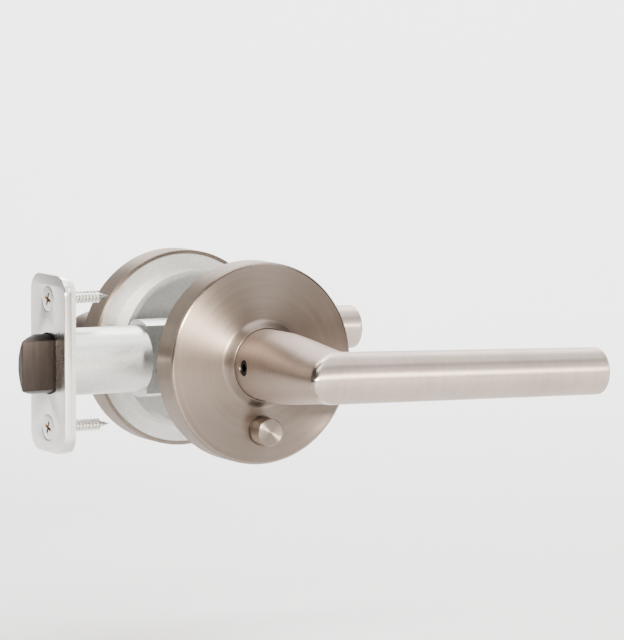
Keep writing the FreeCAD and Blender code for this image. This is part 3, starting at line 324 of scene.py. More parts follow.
def straight_metal(name, base, pale, rough, direction, pitch=0.15, relief=0.15, anisotropy=0.5):
    """Metal brushed in a straight line along X, Y or Z."""
    material, w, shader = new_metal(name, rough, anisotropy)
    place = place_in_mm(w)
    x, y, z = w.split(place)
    along, first, second = {"x": (x, y, z), "y": (y, x, z), "z": (z, x, y)}[direction]
    across = w.sum("ADD", first, w.sum("MULTIPLY", second, 1.37))
    marks = w.group(LATHE_MARKS, across=across, along=along, pitch=pitch, length=18.0)
    handling = w.group(HANDLING, place=place, size=0.07)
    finish_metal(w, shader, base, pale, marks, handling, rough, relief)
    line = {"x": (1.0, 0.0, 0.0), "y": (0.0, 1.0, 0.0), "z": (0.0, 0.0, 1.0)}[direction]
    w.link(to_world(w, w.combine(*line)), shader.inputs["Tangent"])
    return material


def cast_metal(name, base, pale, rough, grain=2.5, relief=0.3):
    """Metal with no direction: cast, plated or oxidised."""
    material, w, shader = new_metal(name, rough)
    place = place_in_mm(w)
    grainy = w.noise(place, grain, 4.0)
    handling = w.group(HANDLING, place=place, size=0.1)
    blend = w.sum("ADD", w.span(grainy, 0.3, 0.7), w.sum("MULTIPLY", handling["Smudge"], -0.3))
    w.link(w.mix(blend, (*base, 1.0), (*pale, 1.0)), shader.inputs["Base Color"])
    w.link(w.sum("ADD", rough, w.sum("MULTIPLY", grainy, 0.12)), shader.inputs["Roughness"])
    bump = w.add("ShaderNodeBump")
    bump.inputs["Strength"].default_value = relief
    bump.inputs["Distance"].default_value = 0.00005
    w.link(grainy, bump.inputs["Height"])
    w.link(bump.outputs[0], shader.inputs["Normal"])
    return material


def paper_white(name, colour, rough):
    material = bpy.data.materials.new(name)
    material.use_nodes = True
    w = Wiring(material.node_tree)
    shader = material.node_tree.nodes["Principled BSDF"]
    shader.inputs["Roughness"].default_value = rough
    cloud = w.noise(w.add("ShaderNodeTexCoord").outputs["Object"], 3.0, 2.0)
    darker = tuple(channel * 0.97 for channel in colour)
    w.link(w.mix(cloud, (*darker, 1.0), (*colour, 1.0)), shader.inputs["Base Color"])
    return material


MATERIALS = {}


def material(name):
    """The finish of this name, made the first time it is asked for."""
    colours = bpy.context.scene.door_lever_finishes
    rose = colours.rose_dark, colours.rose_pale
    lever = colours.lever_dark, colours.lever_pale
    plate = colours.plate_dark, colours.plate_pale
    bolt = colours.bolt_dark, colours.bolt_pale
    makers = {
        "rose_nickel": lambda: turned_nickel("rose_nickel", *rose, bright_from=(RIM_START, COLLAR_FOOT)),
        "lever_nickel": lambda: lever_nickel(*lever),
        "button_nickel": lambda: turned_nickel("button_nickel", *rose, centre_z=-BUTTON_DROP, pitch=0.16),
        "plate_nickel": lambda: straight_metal("plate_nickel", *plate, 0.24, "z"),
        "bolt_steel": lambda: straight_metal("bolt_steel", *bolt, 0.36, "z"),
        "screw_nickel": lambda: cast_metal("screw_nickel", (0.62, 0.60, 0.57), (0.80, 0.78, 0.74), 0.2),
        "recess_brass": lambda: cast_metal("recess_brass", (0.36, 0.23, 0.11), (0.58, 0.40, 0.20), 0.4),
        "black_oxide": lambda: cast_metal("black_oxide", (0.018, 0.018, 0.02), (0.05, 0.05, 0.055), 0.4),
        "zinc_plate": lambda: cast_metal("zinc_plate", (0.56, 0.56, 0.54), (0.64, 0.64, 0.62), 0.3,
                                         grain=1.2, relief=0.12),
        "bronze": lambda: cast_metal("bronze", (0.36, 0.22, 0.10), (0.56, 0.37, 0.18), 0.42, grain=4.0),
        "spring_wire": lambda: cast_metal("spring_wire", (0.30, 0.31, 0.33), (0.46, 0.47, 0.49), 0.28),
        "floor_white": lambda: paper_white("floor_white", (0.93, 0.93, 0.93), 0.6),
    }
    if name not in MATERIALS:
        MATERIALS[name] = makers[name]()
    return MATERIALS[name]


CAD_FINISHES = {
    "satin_nickel": "rose_nickel",
    "bright_plate": "plate_nickel",
    "dark_bolt": "bolt_steel",
    "screw_steel": "screw_nickel",
    "black_screw": "black_oxide",
    "bronze": "bronze",
    "spring_steel": "spring_wire",
    "plated_steel": "zinc_plate",
}


# ---------------------------------------------------------------- mesh helpers


def settle(mesh_object, material_name, body, slot, *nodes):
    """Gives a piece its finish and its body, and hides the CAD nodes that it stands for. The slot argument is
    not used.
    """
    if material_name:
        mesh_object.data.materials.clear()
        mesh_object.data.materials.append(material(material_name))
    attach(mesh_object, body)
    if nodes:
        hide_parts(*nodes)
    return mesh_object


def new_piece(name, bm, smooth_degrees=35.0):
    bmesh.ops.recalc_face_normals(bm, faces=bm.faces)
    mesh = bpy.data.meshes.new(name)
    bm.to_mesh(mesh)
    bm.free()
    piece = bpy.data.objects.new(name, mesh)
    bpy.context.scene.collection.objects.link(piece)
    shade(piece, smooth_degrees)
    return piece


def shade(piece, degrees):
    """Smooth shading, with edges sharper than this left crisp."""
    mesh = piece.data
    mesh.polygons.foreach_set("use_smooth", [True] * len(mesh.polygons))
    mesh.set_sharp_from_angle(angle=math.radians(degrees))


def arc_points(centre, radius, start, end, steps):
    """Points of an arc, from the start angle to the end angle in degrees."""
    angles = [math.radians(start + (end - start) * i / steps) for i in range(steps + 1)]
    return [(centre[0] + radius * math.cos(a), centre[1] + radius * math.sin(a)) for a in angles]


def lathe(profile, steps, place):
    """Closed solid turned from a closed (radius, height) outline. place maps radius, angle and height."""
    bm = bmesh.new()
    rings = []
    for radius, height in profile:
        if radius < 1e-9:
            rings.append([bm.verts.new(place(0.0, 0.0, height))])
            continue
        rings.append([bm.verts.new(place(radius, 2 * math.pi * i / steps, height)) for i in range(steps)])
    count = len(rings)
    for k in range(count):
        a, b = rings[k], rings[(k + 1) % count]
        if len(a) == 1 and len(b) == 1:
            continue
        for i in range(steps):
            j = (i + 1) % steps
            corners = [a[i % len(a)], a[j % len(a)], b[j % len(b)], b[i % len(b)]]
            unique = list(dict.fromkeys(corners))
            if len(unique) > 2:
                bm.faces.new(unique)
    return bm


def around_y(away, face, centre_z=0.0):
    """Placing for a lathe about an axis along Y: heights run away from a door face, in millimetres."""

    def place(radius, angle, height):
        x, z = radius * math.cos(angle), radius * math.sin(angle) + centre_z
        return (x * MM, face + away * height * MM, z * MM)

    return place


def around_x(centre_y, x_start):
    """Placing for a lathe about an axis along X."""

    def place(radius, angle, height):
        y, z = radius * math.cos(angle) * MM, radius * math.sin(angle) * MM
        return (x_start + height * MM, centre_y + y, z)

    return place


def carve(piece, cutter, operation="DIFFERENCE"):
    """Applies a boolean with another object, which is then removed."""
    modifier = piece.modifiers.new("carve", "BOOLEAN")
    modifier.operation = operation
    modifier.solver = "EXACT"
    modifier.object = cutter
    apply_modifiers(piece)
    mesh = cutter.data
    bpy.data.objects.remove(cutter)
    bpy.data.meshes.remove(mesh)
    return piece


def apply_modifiers(piece):
    bpy.context.view_layer.update()
    evaluated = piece.evaluated_get(bpy.context.evaluated_depsgraph_get())
    mesh = bpy.data.meshes.new_from_object(evaluated)
    old = piece.data
    piece.modifiers.clear()
    piece.data = mesh
    bpy.data.meshes.remove(old)
    mesh.name = piece.name


def bevel_edges(piece, width, segments, degrees=30.0):
    modifier = piece.modifiers.new("edge", "BEVEL")
    modifier.width = width
    modifier.segments = segments
    modifier.limit_method = "ANGLE"
    modifier.angle_limit = math.radians(degrees)
    modifier.harden_normals = False
    apply_modifiers(piece)


# ---------------------------------------------------------------- settings


def length_setting(name, description, default):
    return bpy.props.FloatProperty(name=name, description=description, default=default, unit="LENGTH")


def angle_setting(name, description, degrees):
    return bpy.props.FloatProperty(name=name, description=description, default=math.radians(degrees),
                                   unit="ROTATION")


def colour_setting(name, description, default):
    return bpy.props.FloatVectorProperty(name=name, description=description, default=default, min=0.0,
                                         max=1.0, subtype="COLOR")


class TrimSettings(bpy.types.PropertyGroup):
    rose_radius: length_setting("Rose radius", "Outer radius of the roses", ROSE_HIGH.x)
    rose_depth: length_setting("Rose depth", "Height of the rose's face above the door", 0.0103)
    rim_round: length_setting("Rim rounding", "Rounding of the rose's rim", 0.0009)
    collar_depth: length_setting("Collar depth", "Height of the collar above the door", -ROSE_LOW.y)
    steps: bpy.props.IntProperty(name="Steps round", description="Faces round a full turn", default=256)


class LeverSettings(bpy.types.PropertyGroup):
    neck_radius: length_setting("Neck radius", "Radius of the round part of the neck", NECK_RADIUS * MM)
    bar_out: length_setting("Bar height", "Axis of the bar above the door face", BAR_OUT * MM)
    bar_radius: length_setting("Bar radius", "Radius of the bar at the spindle axis", BAR_RADIUS * MM)
    tip_radius: length_setting("Tip radius", "Radius of the bar at its tip", 0.00764)
    reach: length_setting("Reach", "Spindle axis to the tip, along the bar", 0.0979)
    droop: angle_setting("Droop", "Fall of the bar towards its tip", 1.58)
    elbow_round: length_setting("Elbow rounding", "Rounding of the elbow's outer corner", 0.0022)


class FinishSettings(bpy.types.PropertyGroup):
    rose_dark: colour_setting("Rose, dark", "Roses and button in the grooves", (0.165, 0.132, 0.110))
    rose_pale: colour_setting("Rose, pale", "Roses and button between the grooves", (0.28, 0.232, 0.197))
    lever_dark: colour_setting("Lever, dark", "Levers in the grooves", (0.34, 0.274, 0.238))
    lever_pale: colour_setting("Lever, pale", "Levers between the grooves", (0.53, 0.443, 0.39))
    plate_dark: colour_setting("Faceplate, dark", "Faceplate in the grooves", (0.66, 0.63, 0.605))
    plate_pale: colour_setting("Faceplate, pale", "Faceplate between the grooves", (0.84, 0.80, 0.775))
    bolt_dark: colour_setting("Bolt, dark", "Latch bolt in the grooves", (0.016, 0.013, 0.012))
    bolt_pale: colour_setting("Bolt, pale", "Latch bolt between the grooves", (0.045, 0.037, 0.033))


class StageSettings(bpy.types.PropertyGroup):
    floor_height: length_setting("Floor height", "Floor, below the turned lever's reach", -LEVER_REACH)
    azimuth: angle_setting("Camera azimuth", "Direction that the camera looks from", -29.458)
    elevation: angle_setting("Camera elevation", "Height angle of the camera", 5.716)
    roll: angle_setting("Camera roll", "Turn of the camera about its view", 0.235)
    distance: length_setting("Camera distance", "Camera to the point it looks at", 1.2558)
    lens: bpy.props.FloatProperty(name="Lens", description="Focal length in millimetres on a 36 mm sensor",
                                  default=217.32)


# ---------------------------------------------------------------- levers


def neck_size(s, g):
    """Half width and half height of the neck at this height above the door, in millimetres."""
    oval_start, spread = 26.0, 0.75
    share = min(max((s - oval_start) / (g["out"] - oval_start), 0.0), 1.0)
    ease = share * share * (3 - 2 * share) * 0.35 + share * 0.65
    return g["neck"] + spread * ease, g["neck"] + (g["bar"] - g["neck"]) * ease


def lever_column(turn, g):
    """Points of one line of the lever's skin: up the neck, round the elbow and along the bar.

    Each point is (x, height above the door, z, corner share, bar share) in millimetres."""
    out, bar = g["out"], g["bar"]
    cosine, sine = math.cos(turn), math.sin(turn)
    front = cosine < 0
    bar_cos = abs(cosine)
    if front:
        meet, z_meet = out + bar * bar_cos, bar * sine
    else:
        # the bar's line that meets the neck at this height, closed in on step by step
        for _ in range(40):
            half_height = neck_size(out - bar * bar_cos, g)[1]
            sin_bar = min(half_height * abs(sine) / bar, 1.0)
            bar_cos = 0.5 * bar_cos + 0.5 * math.sqrt(max(1.0 - sin_bar * sin_bar, 0.0))
        meet = out - bar * bar_cos
        z_meet = math.copysign(math.sqrt(max(1.0 - bar_cos * bar_cos, 0.0)) * bar, sine)
    size = min(g["round"] if front else g["inner_round"], 0.62 * bar * abs(cosine))
    points = []
    neck_end = meet - size
    for i in range(g["neck_rows"] + 1):
        s = g["foot"] + (neck_end - g["foot"]) * i / g["neck_rows"]
        half_width, half_height = neck_size(s, g)
        points.append((half_width * cosine, s, half_height * sine, 0.0, 0.0))
    wall_x = neck_size(meet, g)[0] * cosine
    z_start = points[-1][2]
    for i in range(1, g["corner_rows"]):
        a = math.pi / 2 * i / g["corner_rows"]
        share = i / g["corner_rows"]
        z = z_start + (z_meet - z_start) * share
        x = wall_x + size * (1 - math.cos(a))
        mask = math.sin(math.pi * min(max(share, 0.0), 1.0)) if front else 0.0
        points.append((x, neck_end + size * math.sin(a), z, mask, 1.0 if share > 0.5 else 0.0))
    x_start = wall_x + size
    taper = (g["tip"] - bar) / g["reach"]
    unit = Vector((0.0, meet - out, z_meet)) / bar
    length = g["reach"] - g["tip_round"] - x_start
    for i in range(g["bar_rows"] + 1):
        share = i / g["bar_rows"]
        x = x_start + length * share
        radius = bar + taper * max(x, 0.0)
        points.append((x, out + unit.y * radius, unit.z * radius, 0.0, 1.0))
    return points, unit


def lever_mesh(name, away, face, settings):
    g = {
        "out": settings.bar_out / MM, "bar": settings.bar_radius / MM, "tip": settings.tip_radius / MM,
        "neck": settings.neck_radius / MM, "reach": settings.reach / MM, "round": settings.elbow_round / MM,
        "inner_round": 1.6, "foot": 9.0, "tip_round": 1.0, "neck_rows": 40, "corner_rows": 12, "bar_rows": 60,
    }
    around, tip_rows = 240, 8
    droop_start, droop_full = 30.0, 50.0  # heights on the neck between which it takes up the bar's droop
    bm = bmesh.new()
    corner_layer = bm.verts.layers.float.new("corner")
    bar_layer = bm.verts.layers.float.new("on_bar")
    fall = math.tan(settings.droop)
    columns = []
    for c in range(around):
        turn = 2 * math.pi * (c + 0.5) / around
        points, unit = lever_column(turn, g)
        tip_x, tip_radius = g["reach"] - g["tip_round"], g["tip"]
        for i in range(1, tip_rows + 1):
            a = math.pi / 2 * i / tip_rows
            radius = tip_radius - g["tip_round"] * (1 - math.cos(a))
            x = tip_x + g["tip_round"] * math.sin(a)
            points.append((x, g["out"] + unit.y * radius, unit.z * radius, 0.0, 1.0))
        column = []
        for x, s, z, corner, on_bar in points:
            drop = fall * x if x > 0 else 0.0
            rise = (s - droop_start) / (droop_full - droop_start)
            share = min(max(rise, 0.0), 1.0) if on_bar < 0.5 else 1.0
            vert = bm.verts.new((x * MM, face + away * s * MM, (z - drop * share) * MM))
            vert[corner_layer] = corner
            vert[bar_layer] = on_bar
            column.append(vert)
        columns.append(column)
    rows = len(columns[0])
    for c in range(around):
        a, b = columns[c], columns[(c + 1) % around]
        for r in range(rows - 1):
            bm.faces.new((a[r], a[r + 1], b[r + 1], b[r]))
    for row in (0, rows - 1):
        ring = [column[row] for column in columns]
        middle = sum((v.co for v in ring), Vector()) / around
        previous = ring
        for k in (0.97, 0.6, 0.25):
            inner = []
            for v in ring:
                vert = bm.verts.new(middle + (v.co - middle) * k)
                vert[bar_layer] = v[bar_layer]
                inner.append(vert)
            for c in range(around):
                d = (c + 1) % around
                bm.faces.new((previous[c], previous[d], inner[d], inner[c]))
            previous = inner
        bm.faces.new(previous)
    return new_piece(name, bm, 40.0)


def drill_rod(centre, axis, radius, length, steps=64):
    """Cutter for a round hole."""
    bm = bmesh.new()
    bmesh.ops.create_cone(bm, cap_ends=True, segments=steps, radius1=radius, radius2=radius, depth=length)
    turn = Vector((0, 0, 1)).rotation_difference(Vector(axis)).to_matrix().to_4x4()
    bm.transform(Matrix.Translation(centre) @ turn)
    return new_piece("cutter", bm)


class DOORLEVER_OT_levers(bpy.types.Operator):
    """Build both levers with their set screw holes"""

    bl_idname = "door_lever.levers"
    bl_label = "Levers"

    def execute(self, context):
        settings = context.scene.door_lever_levers
        for name, away, face in TRIMS:
            piece = lever_mesh(name + "_lever_body", away, face, settings)
            centre = Vector((-(NECK_RADIUS + 0.1) * MM, face + away * SET_SCREW_OUT * MM, 0.0))
            carve(piece, drill_rod(centre, (1, 0, 0), radius=2.6 * MM, length=7.0 * MM))
            shade(piece, 40.0)
            settle(piece, "lever_nickel", "levers", "satin_nickel", name + "_lever")
        return {"FINISHED"}


class DOORLEVER_OT_set_screws(bpy.types.Operator):
    """Build the set screws with their hexagon sockets"""

    bl_idname = "door_lever.set_screws"
    bl_label = "Set screws"

    def execute(self, context):
        for name, _, _ in TRIMS:
            low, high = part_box(name + "_set_screw")
            radius = (high.y - low.y) / 2 / MM
            length = (high.x - low.x) / MM
            chamfer, groove, turns = 0.35, 0.25, 5
            step = (length - 2 * chamfer) / turns
            profile = [(0.0, 0.0), (1.9, 0.0), (radius - chamfer, 0.0), (radius, chamfer)]
            for i in range(turns):
                start = chamfer + step * i
                profile += [(radius, start + 0.1), (radius - groove, start + step * 0.5)]
            profile += [(radius, length - chamfer), (radius - 0.4, length), (0.0, length)]
            centre_y = (low.y + high.y) / 2
            piece = new_piece(name + "_grub_screw", lathe(profile, 48, around_x(centre_y, low.x)), 30.0)
            bm = bmesh.new()
            corner = 1.45 * MM
            bmesh.ops.create_cone(bm, cap_ends=True, segments=6, radius1=corner, radius2=corner,
                                  depth=3.4 * MM)
            bm.transform(Matrix.Translation((low.x, centre_y, 0.0)) @ Matrix.Rotation(math.pi / 2, 4, "Y"))
            carve(piece, new_piece("cutter", bm))
            shade(piece, 30.0)
            settle(piece, "black_oxide", "levers", "black_screw", name + "_set_screw")
        return {"FINISHED"}


# ---------------------------------------------------------------- roses and button


def rose_profile(settings):
    """Closed outline of a rose: side, rounded rim, face, hollow collar with a lip, and the inside."""
    radius, depth = settings.rose_radius / MM, settings.rose_depth / MM
    lip, rim = settings.collar_depth / MM, settings.rim_round / MM
    wall, back_edge = 1.2, 0.15
    flare, rise, bore = 2.15, 2.8, 11.6
    profile = [(radius - back_edge, 0.0), (radius, back_edge), (radius, depth * 0.5)]
    profile += arc_points((radius - rim, depth - rim), rim, 0, 90, 10)
    profile += [(radius - rim - 4.0 * k, depth) for k in (0.2, 1.0, 2.0, 3.0)]
    profile += [(COLLAR_FOOT + 0.4, depth), (COLLAR_FOOT, depth + 0.02)]
    for k in (0.15, 0.3, 0.45, 0.6, 0.75, 0.9):
        profile.append((COLLAR_FOOT - flare * k, depth + rise * (0.35 * k + 0.65 * k * k)))
    # the lip, rounded over from the collar's slope to its bore
    profile += [(bore + 0.42, lip - 0.2), (bore + 0.35, lip - 0.05), (bore + 0.25, lip)]
    profile += [(bore + 0.1, lip - 0.05), (bore, lip - 0.2)]
    profile += [(bore, depth - wall), (radius - wall, depth - wall)]
    profile += [(radius - wall, back_edge), (radius - wall, 0.0)]
    return profile


class DOORLEVER_OT_roses(bpy.types.Operator):
    """Build both roses, the interior one with the button hole and the exterior one with the release hole"""

    bl_idname = "door_lever.roses"
    bl_label = "Roses"

    def execute(self, context):
        settings = context.scene.door_lever_trim
        for name, away, face in TRIMS:
            bm = lathe(rose_profile(settings), settings.steps, around_y(away, face))
            piece = new_piece(name + "_rose_shell", bm, 30.0)
            radius = {"interior": 4.8, "exterior": 1.6}[name]
            through_face = settings.rose_depth - 0.5 * MM
            centre = Vector((0.0, face + away * through_face, -BUTTON_DROP * MM))
            carve(piece, drill_rod(centre, (0, 1, 0), radius * MM, 4.0 * MM, 96))
            shade(piece, 30.0)
            settle(piece, "rose_nickel", "trim", "satin_nickel", name + "_rose")
        return {"FINISHED"}


class DOORLEVER_OT_button(bpy.types.Operator):
    """Build the privacy button with its turned end"""

    bl_idname = "door_lever.button"
    bl_label = "Privacy button"

    def execute(self, context):
        low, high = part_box("privacy_button")
        centre_z = (low.z + high.z) / 2 / MM
        out, foot = -low.y / MM, -high.y / MM
        radius, edge = 4.5, 0.45
        flange_radius, flange = 5.3, 1.2
        pocket_radius, pocket_end = 3.4, 12.5
        socket_radius, socket_end = 1.55, 14.4
        profile = [(0.0, out - 0.08), (1.2, out - 0.06), (3.3, out - 0.01), (radius - edge, out)]
        profile += arc_points((radius - edge, out - edge), edge, 80, 0, 6)
        profile += [(radius, foot + flange), (flange_radius, foot + flange), (flange_radius, foot)]
        profile += [(pocket_radius, foot), (pocket_radius, pocket_end), (socket_radius, pocket_end)]
        profile += [(socket_radius, socket_end), (0.0, socket_end)]
        piece = new_piece("privacy_button_cap", lathe(profile, 128, around_y(-1, 0.0, centre_z)), 30.0)
        settle(piece, "button_nickel", "button_slide", "satin_nickel", "privacy_button")
        return {"FINISHED"}


# ---------------------------------------------------------------- latch


def rounded_rectangle(half_wide, half_high, radius, steps=12):
    points = []
    for sx, sy, start in ((1, 1, 0), (-1, 1, 90), (-1, -1, 180), (1, -1, 270)):
        centre = (sx * (half_wide - radius), sy * (half_high - radius))
        points += arc_points(centre, radius, start, start + 90, steps)
    return points


def bolt_outline(radius, flat, steps=72):
    """D-shaped outline, flat on its low side across."""
    opening = math.degrees(math.acos(flat / radius))
    return arc_points((0.0, 0.0), radius, 180 - opening, -180 + opening, steps)[::-1]


def plate_from_outlines(name, outer, holes, x_low, thick, edge):
    """Plate across X with softened edges, from a (y, z) outline and its holes, in millimetres."""
    curve = bpy.data.curves.new(name, "CURVE")
    curve.dimensions = "2D"
    curve.fill_mode = "BOTH"
    for outline in (outer, *holes):
        spline = curve.splines.new("POLY")
        spline.points.add(len(outline) - 1)
        for point, (y, z) in zip(spline.points, outline):
            point.co = (y * MM, z * MM, 0.0, 1.0)
        spline.use_cyclic_u = True
    curve.extrude = (thick / 2 - edge) * MM
    curve.bevel_depth = edge * MM
    curve.bevel_resolution = 3
    curve.offset = -edge * MM
    holder = bpy.data.objects.new(name + "_curve", curve)
    bpy.context.scene.collection.objects.link(holder)
    bpy.context.view_layer.update()
    mesh = bpy.data.meshes.new_from_object(holder.evaluated_get(bpy.context.evaluated_depsgraph_get()))
    bpy.data.objects.remove(holder)
    bpy.data.curves.remove(curve)
    bm = bmesh.new()
    bm.from_mesh(mesh)
    bpy.data.meshes.remove(mesh)
    bmesh.ops.remove_doubles(bm, verts=bm.verts, dist=1e-7)
    # the curve's plane becomes the plate's: its X to Y, its Y to Z and its normal to X
    turn = Matrix(((0, 0, 1, x_low + thick / 2 * MM), (1, 0, 0, LATCH_Y), (0, 1, 0, 0), (0, 0, 0, 1)))
    bm.transform(turn)
    return new_piece(name, bm, 30.0)


class DOORLEVER_OT_faceplate(bpy.types.Operator):
    """Build the latch faceplate with its bolt opening and screw holes"""

    bl_idname = "door_lever.faceplate"
    bl_label = "Faceplate"

    def execute(self, context):
        outer = rounded_rectangle(half_wide=12.7, half_high=28.575, radius=6.35)
        gap, screw_hole = 0.3, 4.18
        holes = [bolt_outline(BOLT_RADIUS + gap, BOLT_FLAT + gap)]
        for z in PLATE_SCREW_HEIGHTS.values():
            holes.append(arc_points((0.0, z), screw_hole, 0, 352.5, 47))
        piece = plate_from_outlines("latch_faceplate", outer, holes, PLATE_LOW.x, thick=2.4, edge=0.22)
        settle(piece, "plate_nickel", "trim", "bright_plate", "faceplate")
        return {"FINISHED"}


class DOORLEVER_OT_plate_screws(bpy.types.Operator):
    """Build the faceplate screws: countersunk heads with a cross recess, threaded shanks"""

    bl_idname = "door_lever.plate_screws"
    bl_label = "Faceplate screws"

    def execute(self, context):
        core, crest, pitch, turns = 1.4, 1.98, 1.2, 12
        thread_start, thread_end, length = 3.6, 18.0, 21.9
        for label, z in PLATE_SCREW_HEIGHTS.items():
            profile = [(0.0, 0.0), (3.6, 0.0), (3.95, 0.05), (4.08, 0.2), (2.0, 2.3)]
            for i in range(turns):
                start = thread_start + pitch * i
                profile += [(core - 0.05, start), (core, start + 0.7)]
                profile += [(crest, start + 0.95), (core, start + 1.15)]
            profile += [(core - 0.1, thread_end), (0.0, length)]
            place = around_x(LATCH_Y, PLATE_LOW.x)
            bm = lathe(profile, 64, place)
            bm.transform(Matrix.Translation((0.0, 0.0, z * MM)))
            piece = new_piece(label + "_plate_screw", bm, 30.0)
            piece.data.materials.append(material("screw_nickel"))
            piece.data.materials.append(material("recess_brass"))
            slot_turn, taper = 0.35, 0.55
            for turn in (slot_turn, slot_turn + math.pi / 2):
                bm = bmesh.new()
                bmesh.ops.create_cube(bm, size=1.0)
                for vert in bm.verts:
                    narrow = taper if vert.co.x > 0 else 1.0
                    vert.co = Vector((vert.co.x * 3.0, vert.co.y * 1.0, vert.co.z * 5.6 * narrow)) * MM
                spin = Matrix.Rotation(turn, 4, "X")
                bm.transform(Matrix.Translation((PLATE_LOW.x, LATCH_Y, z * MM)) @ spin)
                cutter = new_piece("cutter", bm)
                cutter.data.materials.append(material("screw_nickel"))
                cutter.data.materials.append(material("recess_brass"))
                for polygon in cutter.data.polygons:
                    polygon.material_index = 1
                carve(piece, cutter)
            shade(piece, 30.0)
            nodes = ("faceplate_screws",) if label == "upper" else ()
            settle(piece, None, "trim", "screw_steel", *nodes)
        return {"FINISHED"}


class DOORLEVER_OT_latch_bolt(bpy.types.Operator):
    """Build the latch bolt with its flat side, curved bevel and softened edges"""

    bl_idname = "door_lever.latch_bolt"
    bl_label = "Latch bolt"

    def execute(self, context):
        low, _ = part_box("latch_bolt")
        outline = bolt_outline(BOLT_RADIUS, BOLT_FLAT, 120)
        length, land, bevel_radius = 14.35, 3.3, 16.0
        bm = bmesh.new()
        ends = []
        for height in (0.0, length):
            ends.append([bm.verts.new((low.x + height * MM, LATCH_Y + y * MM, z * MM)) for y, z in outline])
        count = len(outline)
        for i in range(count):
            j = (i + 1) % count
            bm.faces.new((ends[0][i], ends[0][j], ends[1][j], ends[1][i]))
        bm.faces.new(ends[0])
        bm.faces.new(ends[1][::-1])
        piece = new_piece("latch_bolt_head", bm, 30.0)
        land_edge = LATCH_Y + (land - BOLT_FLAT) * MM
        drop = bevel_radius / math.sqrt(2) * MM
        axis_point = Vector((low.x + drop, land_edge - drop, 0.0))
        carve(piece, drill_rod(axis_point, (1, 1, 0), bevel_radius * MM, 80.0 * MM, 256), "INTERSECT")
        bevel_edges(piece, width=0.3 * MM, segments=3)
        shade(piece, 30.0)
        bm = bmesh.new()
        bmesh.ops.create_cube(bm, size=1.0)
        size = Matrix.Diagonal((7.0 * MM, 6.2 * MM, 12.0 * MM, 1))
        bm.transform(Matrix.Translation((low.x + 17.3 * MM, LATCH_Y, 0.0)) @ size)
        tongue = new_piece("latch_bolt_tongue", bm)
        bevel_edges(tongue, width=0.4 * MM, segments=2)
        settle(tongue, "bolt_steel", "latch_slide", "dark_bolt")
        settle(piece, "bolt_steel", "latch_slide", "dark_bolt", "latch_bolt")
        return {"FINISHED"}


class DOORLEVER_OT_finishes(bpy.types.Operator):
    """Give every CAD piece that shows its finish"""

    bl_idname = "door_lever.finishes"
    bl_label = "Finishes of the inner pieces"

    def execute(self, context):
        slots = {part["node"]: part["material_slot"] for part in frame["record"]["subparts"]}
        for name, node in frame["nodes"].items():
            node.data.materials.clear()
            node.data.materials.append(material(CAD_FINISHES[slots[name]]))
            shade(node, 30.0)
        return {"FINISHED"}


# ---------------------------------------------------------------- stage


def area_light(name, place, target, size, power, tint=(1.0, 1.0, 1.0)):
    light = bpy.data.lights.new(name, "AREA")
    light.energy = power
    light.color = tint
    light.size = size
    lamp = bpy.data.objects.new(name, light)
    bpy.context.scene.collection.objects.link(lamp)
    lamp.location = place
    lamp.rotation_euler = (Vector(target) - Vector(place)).to_track_quat("-Z", "Y").to_euler()


def sweep_floor(height):
    """Floor that curves up into a backdrop, turned to face the camera, in metres."""
    bm = bmesh.new()
    bend_start, bend, half_wide, top, steps = 1.2, 0.8, 4.0, 2.5, 12
    profile = [(-3.0, 0.0), (-0.5, 0.0), (0.5, 0.0), (bend_start, 0.0)]
    for i in range(1, steps + 1):
        a = math.pi / 2 * i / steps
        profile.append((bend_start + bend * math.sin(a), bend - bend * math.cos(a)))
    profile.append((bend_start + bend, top))
    rows = [[bm.verts.new((x, y, z)) for x in (-half_wide, half_wide)] for y, z in profile]
    for a, b in zip(rows, rows[1:]):
        bm.faces.new((a[0], a[1], b[1], b[0]))
    turn = Matrix.Rotation(math.radians(-29.5), 4, "Z")
    bm.transform(Matrix.Translation((0.0, 0.0, height)) @ turn)
    floor = new_piece("studio_floor", bm, 60.0)
    floor.data.materials.append(material("floor_white"))
    return floor


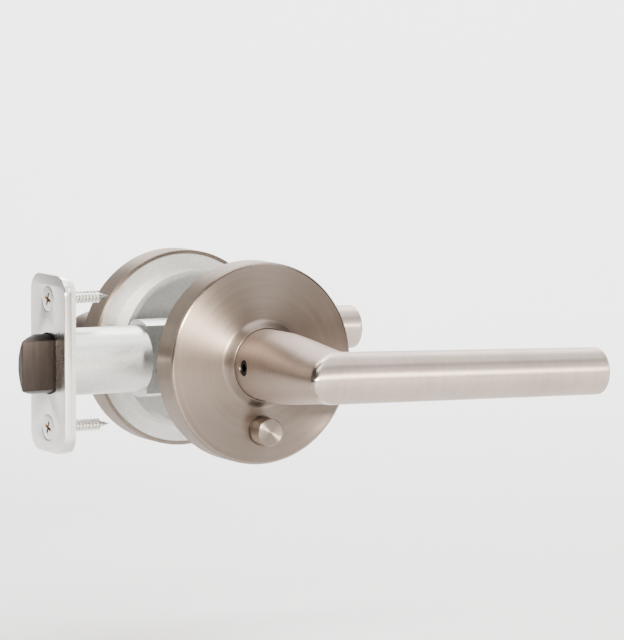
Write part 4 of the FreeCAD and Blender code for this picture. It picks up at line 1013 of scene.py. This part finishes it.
class DOORLEVER_OT_stage(bpy.types.Operator):
    """Set up the floor, the soft studio light and the camera"""

    bl_idname = "door_lever.stage"
    bl_label = "Stage"

    def execute(self, context):
        settings = context.scene.door_lever_stage
        sweep_floor(settings.floor_height)
        world = bpy.data.worlds.new("studio")
        context.scene.world = world
        world.use_nodes = True
        backlight = world.node_tree.nodes["Background"]
        backlight.inputs[0].default_value = (1.0, 0.98, 0.965, 1.0)
        backlight.inputs[1].default_value = 0.2
        middle = (0.02, 0.0, 0.0)
        area_light("key", (-0.11, -1.26, 0.27), middle, 0.12, 50.0, (1.0, 0.92, 0.82))
        area_light("soft_top", (0.25, -0.35, 1.3), middle, 1.0, 17.0)
        area_light("soft_front", (0.9, -1.1, 0.9), middle, 0.7, 8.0)
        area_light("backdrop", (0.6, 0.9, 1.6), (1.0, 1.9, 0.3), 1.6, 110.0)

        azimuth, elevation = settings.azimuth, settings.elevation
        look_at = Vector((0.02407, 0.0, 0.01203))
        back = Vector((math.sin(azimuth) * math.cos(elevation), -math.cos(azimuth) * math.cos(elevation),
                       math.sin(elevation)))
        camera = bpy.data.objects.new("camera", bpy.data.cameras.new("camera"))
        context.scene.collection.objects.link(camera)
        camera.location = look_at + back * settings.distance
        level = back.to_track_quat("Z", "Y").to_matrix().to_4x4()
        camera.matrix_world = (Matrix.Translation(camera.location) @ level
                               @ Matrix.Rotation(settings.roll, 4, "Z"))
        camera.data.lens = settings.lens
        camera.data.sensor_width = 36.0
        camera.data.clip_end = 20.0
        context.scene.camera = camera
        return {"FINISHED"}


class DOORLEVER_PT_panel(bpy.types.Panel):
    """Panel that lists the pieces of the lever set"""

    bl_idname = "DOORLEVER_PT_panel"
    bl_label = "Door lever"
    bl_space_type = "VIEW_3D"
    bl_region_type = "UI"
    bl_category = "Door lever"

    def draw(self, context):
        for operator in OPERATORS:
            self.layout.operator(operator.bl_idname)
        for settings in SETTINGS:
            group = getattr(context.scene, settings)
            for name in group.__annotations__:
                self.layout.prop(group, name)


OPERATORS = (
    DOORLEVER_OT_finishes,
    DOORLEVER_OT_stage,
    DOORLEVER_OT_roses,
    DOORLEVER_OT_button,
    DOORLEVER_OT_levers,
    DOORLEVER_OT_set_screws,
    DOORLEVER_OT_faceplate,
    DOORLEVER_OT_plate_screws,
    DOORLEVER_OT_latch_bolt,
)
SETTINGS = {
    "door_lever_trim": TrimSettings,
    "door_lever_levers": LeverSettings,
    "door_lever_finishes": FinishSettings,
    "door_lever_stage": StageSettings,
}


def register():
    for name, group in SETTINGS.items():
        bpy.utils.register_class(group)
        setattr(bpy.types.Scene, name, bpy.props.PointerProperty(type=group))
    for kind in (*OPERATORS, DOORLEVER_PT_panel):
        bpy.utils.register_class(kind)


def unregister():
    for kind in (DOORLEVER_PT_panel, *reversed(OPERATORS)):
        bpy.utils.unregister_class(kind)
    for name, group in SETTINGS.items():
        delattr(bpy.types.Scene, name)
        bpy.utils.unregister_class(group)


def main():
    register()
    for operator in OPERATORS:
        family, name = operator.bl_idname.split(".")
        if getattr(getattr(bpy.ops, family), name)() != {"FINISHED"}:
            raise RuntimeError(operator.bl_label + " did not finish")


if __name__ == "__main__":
    main()
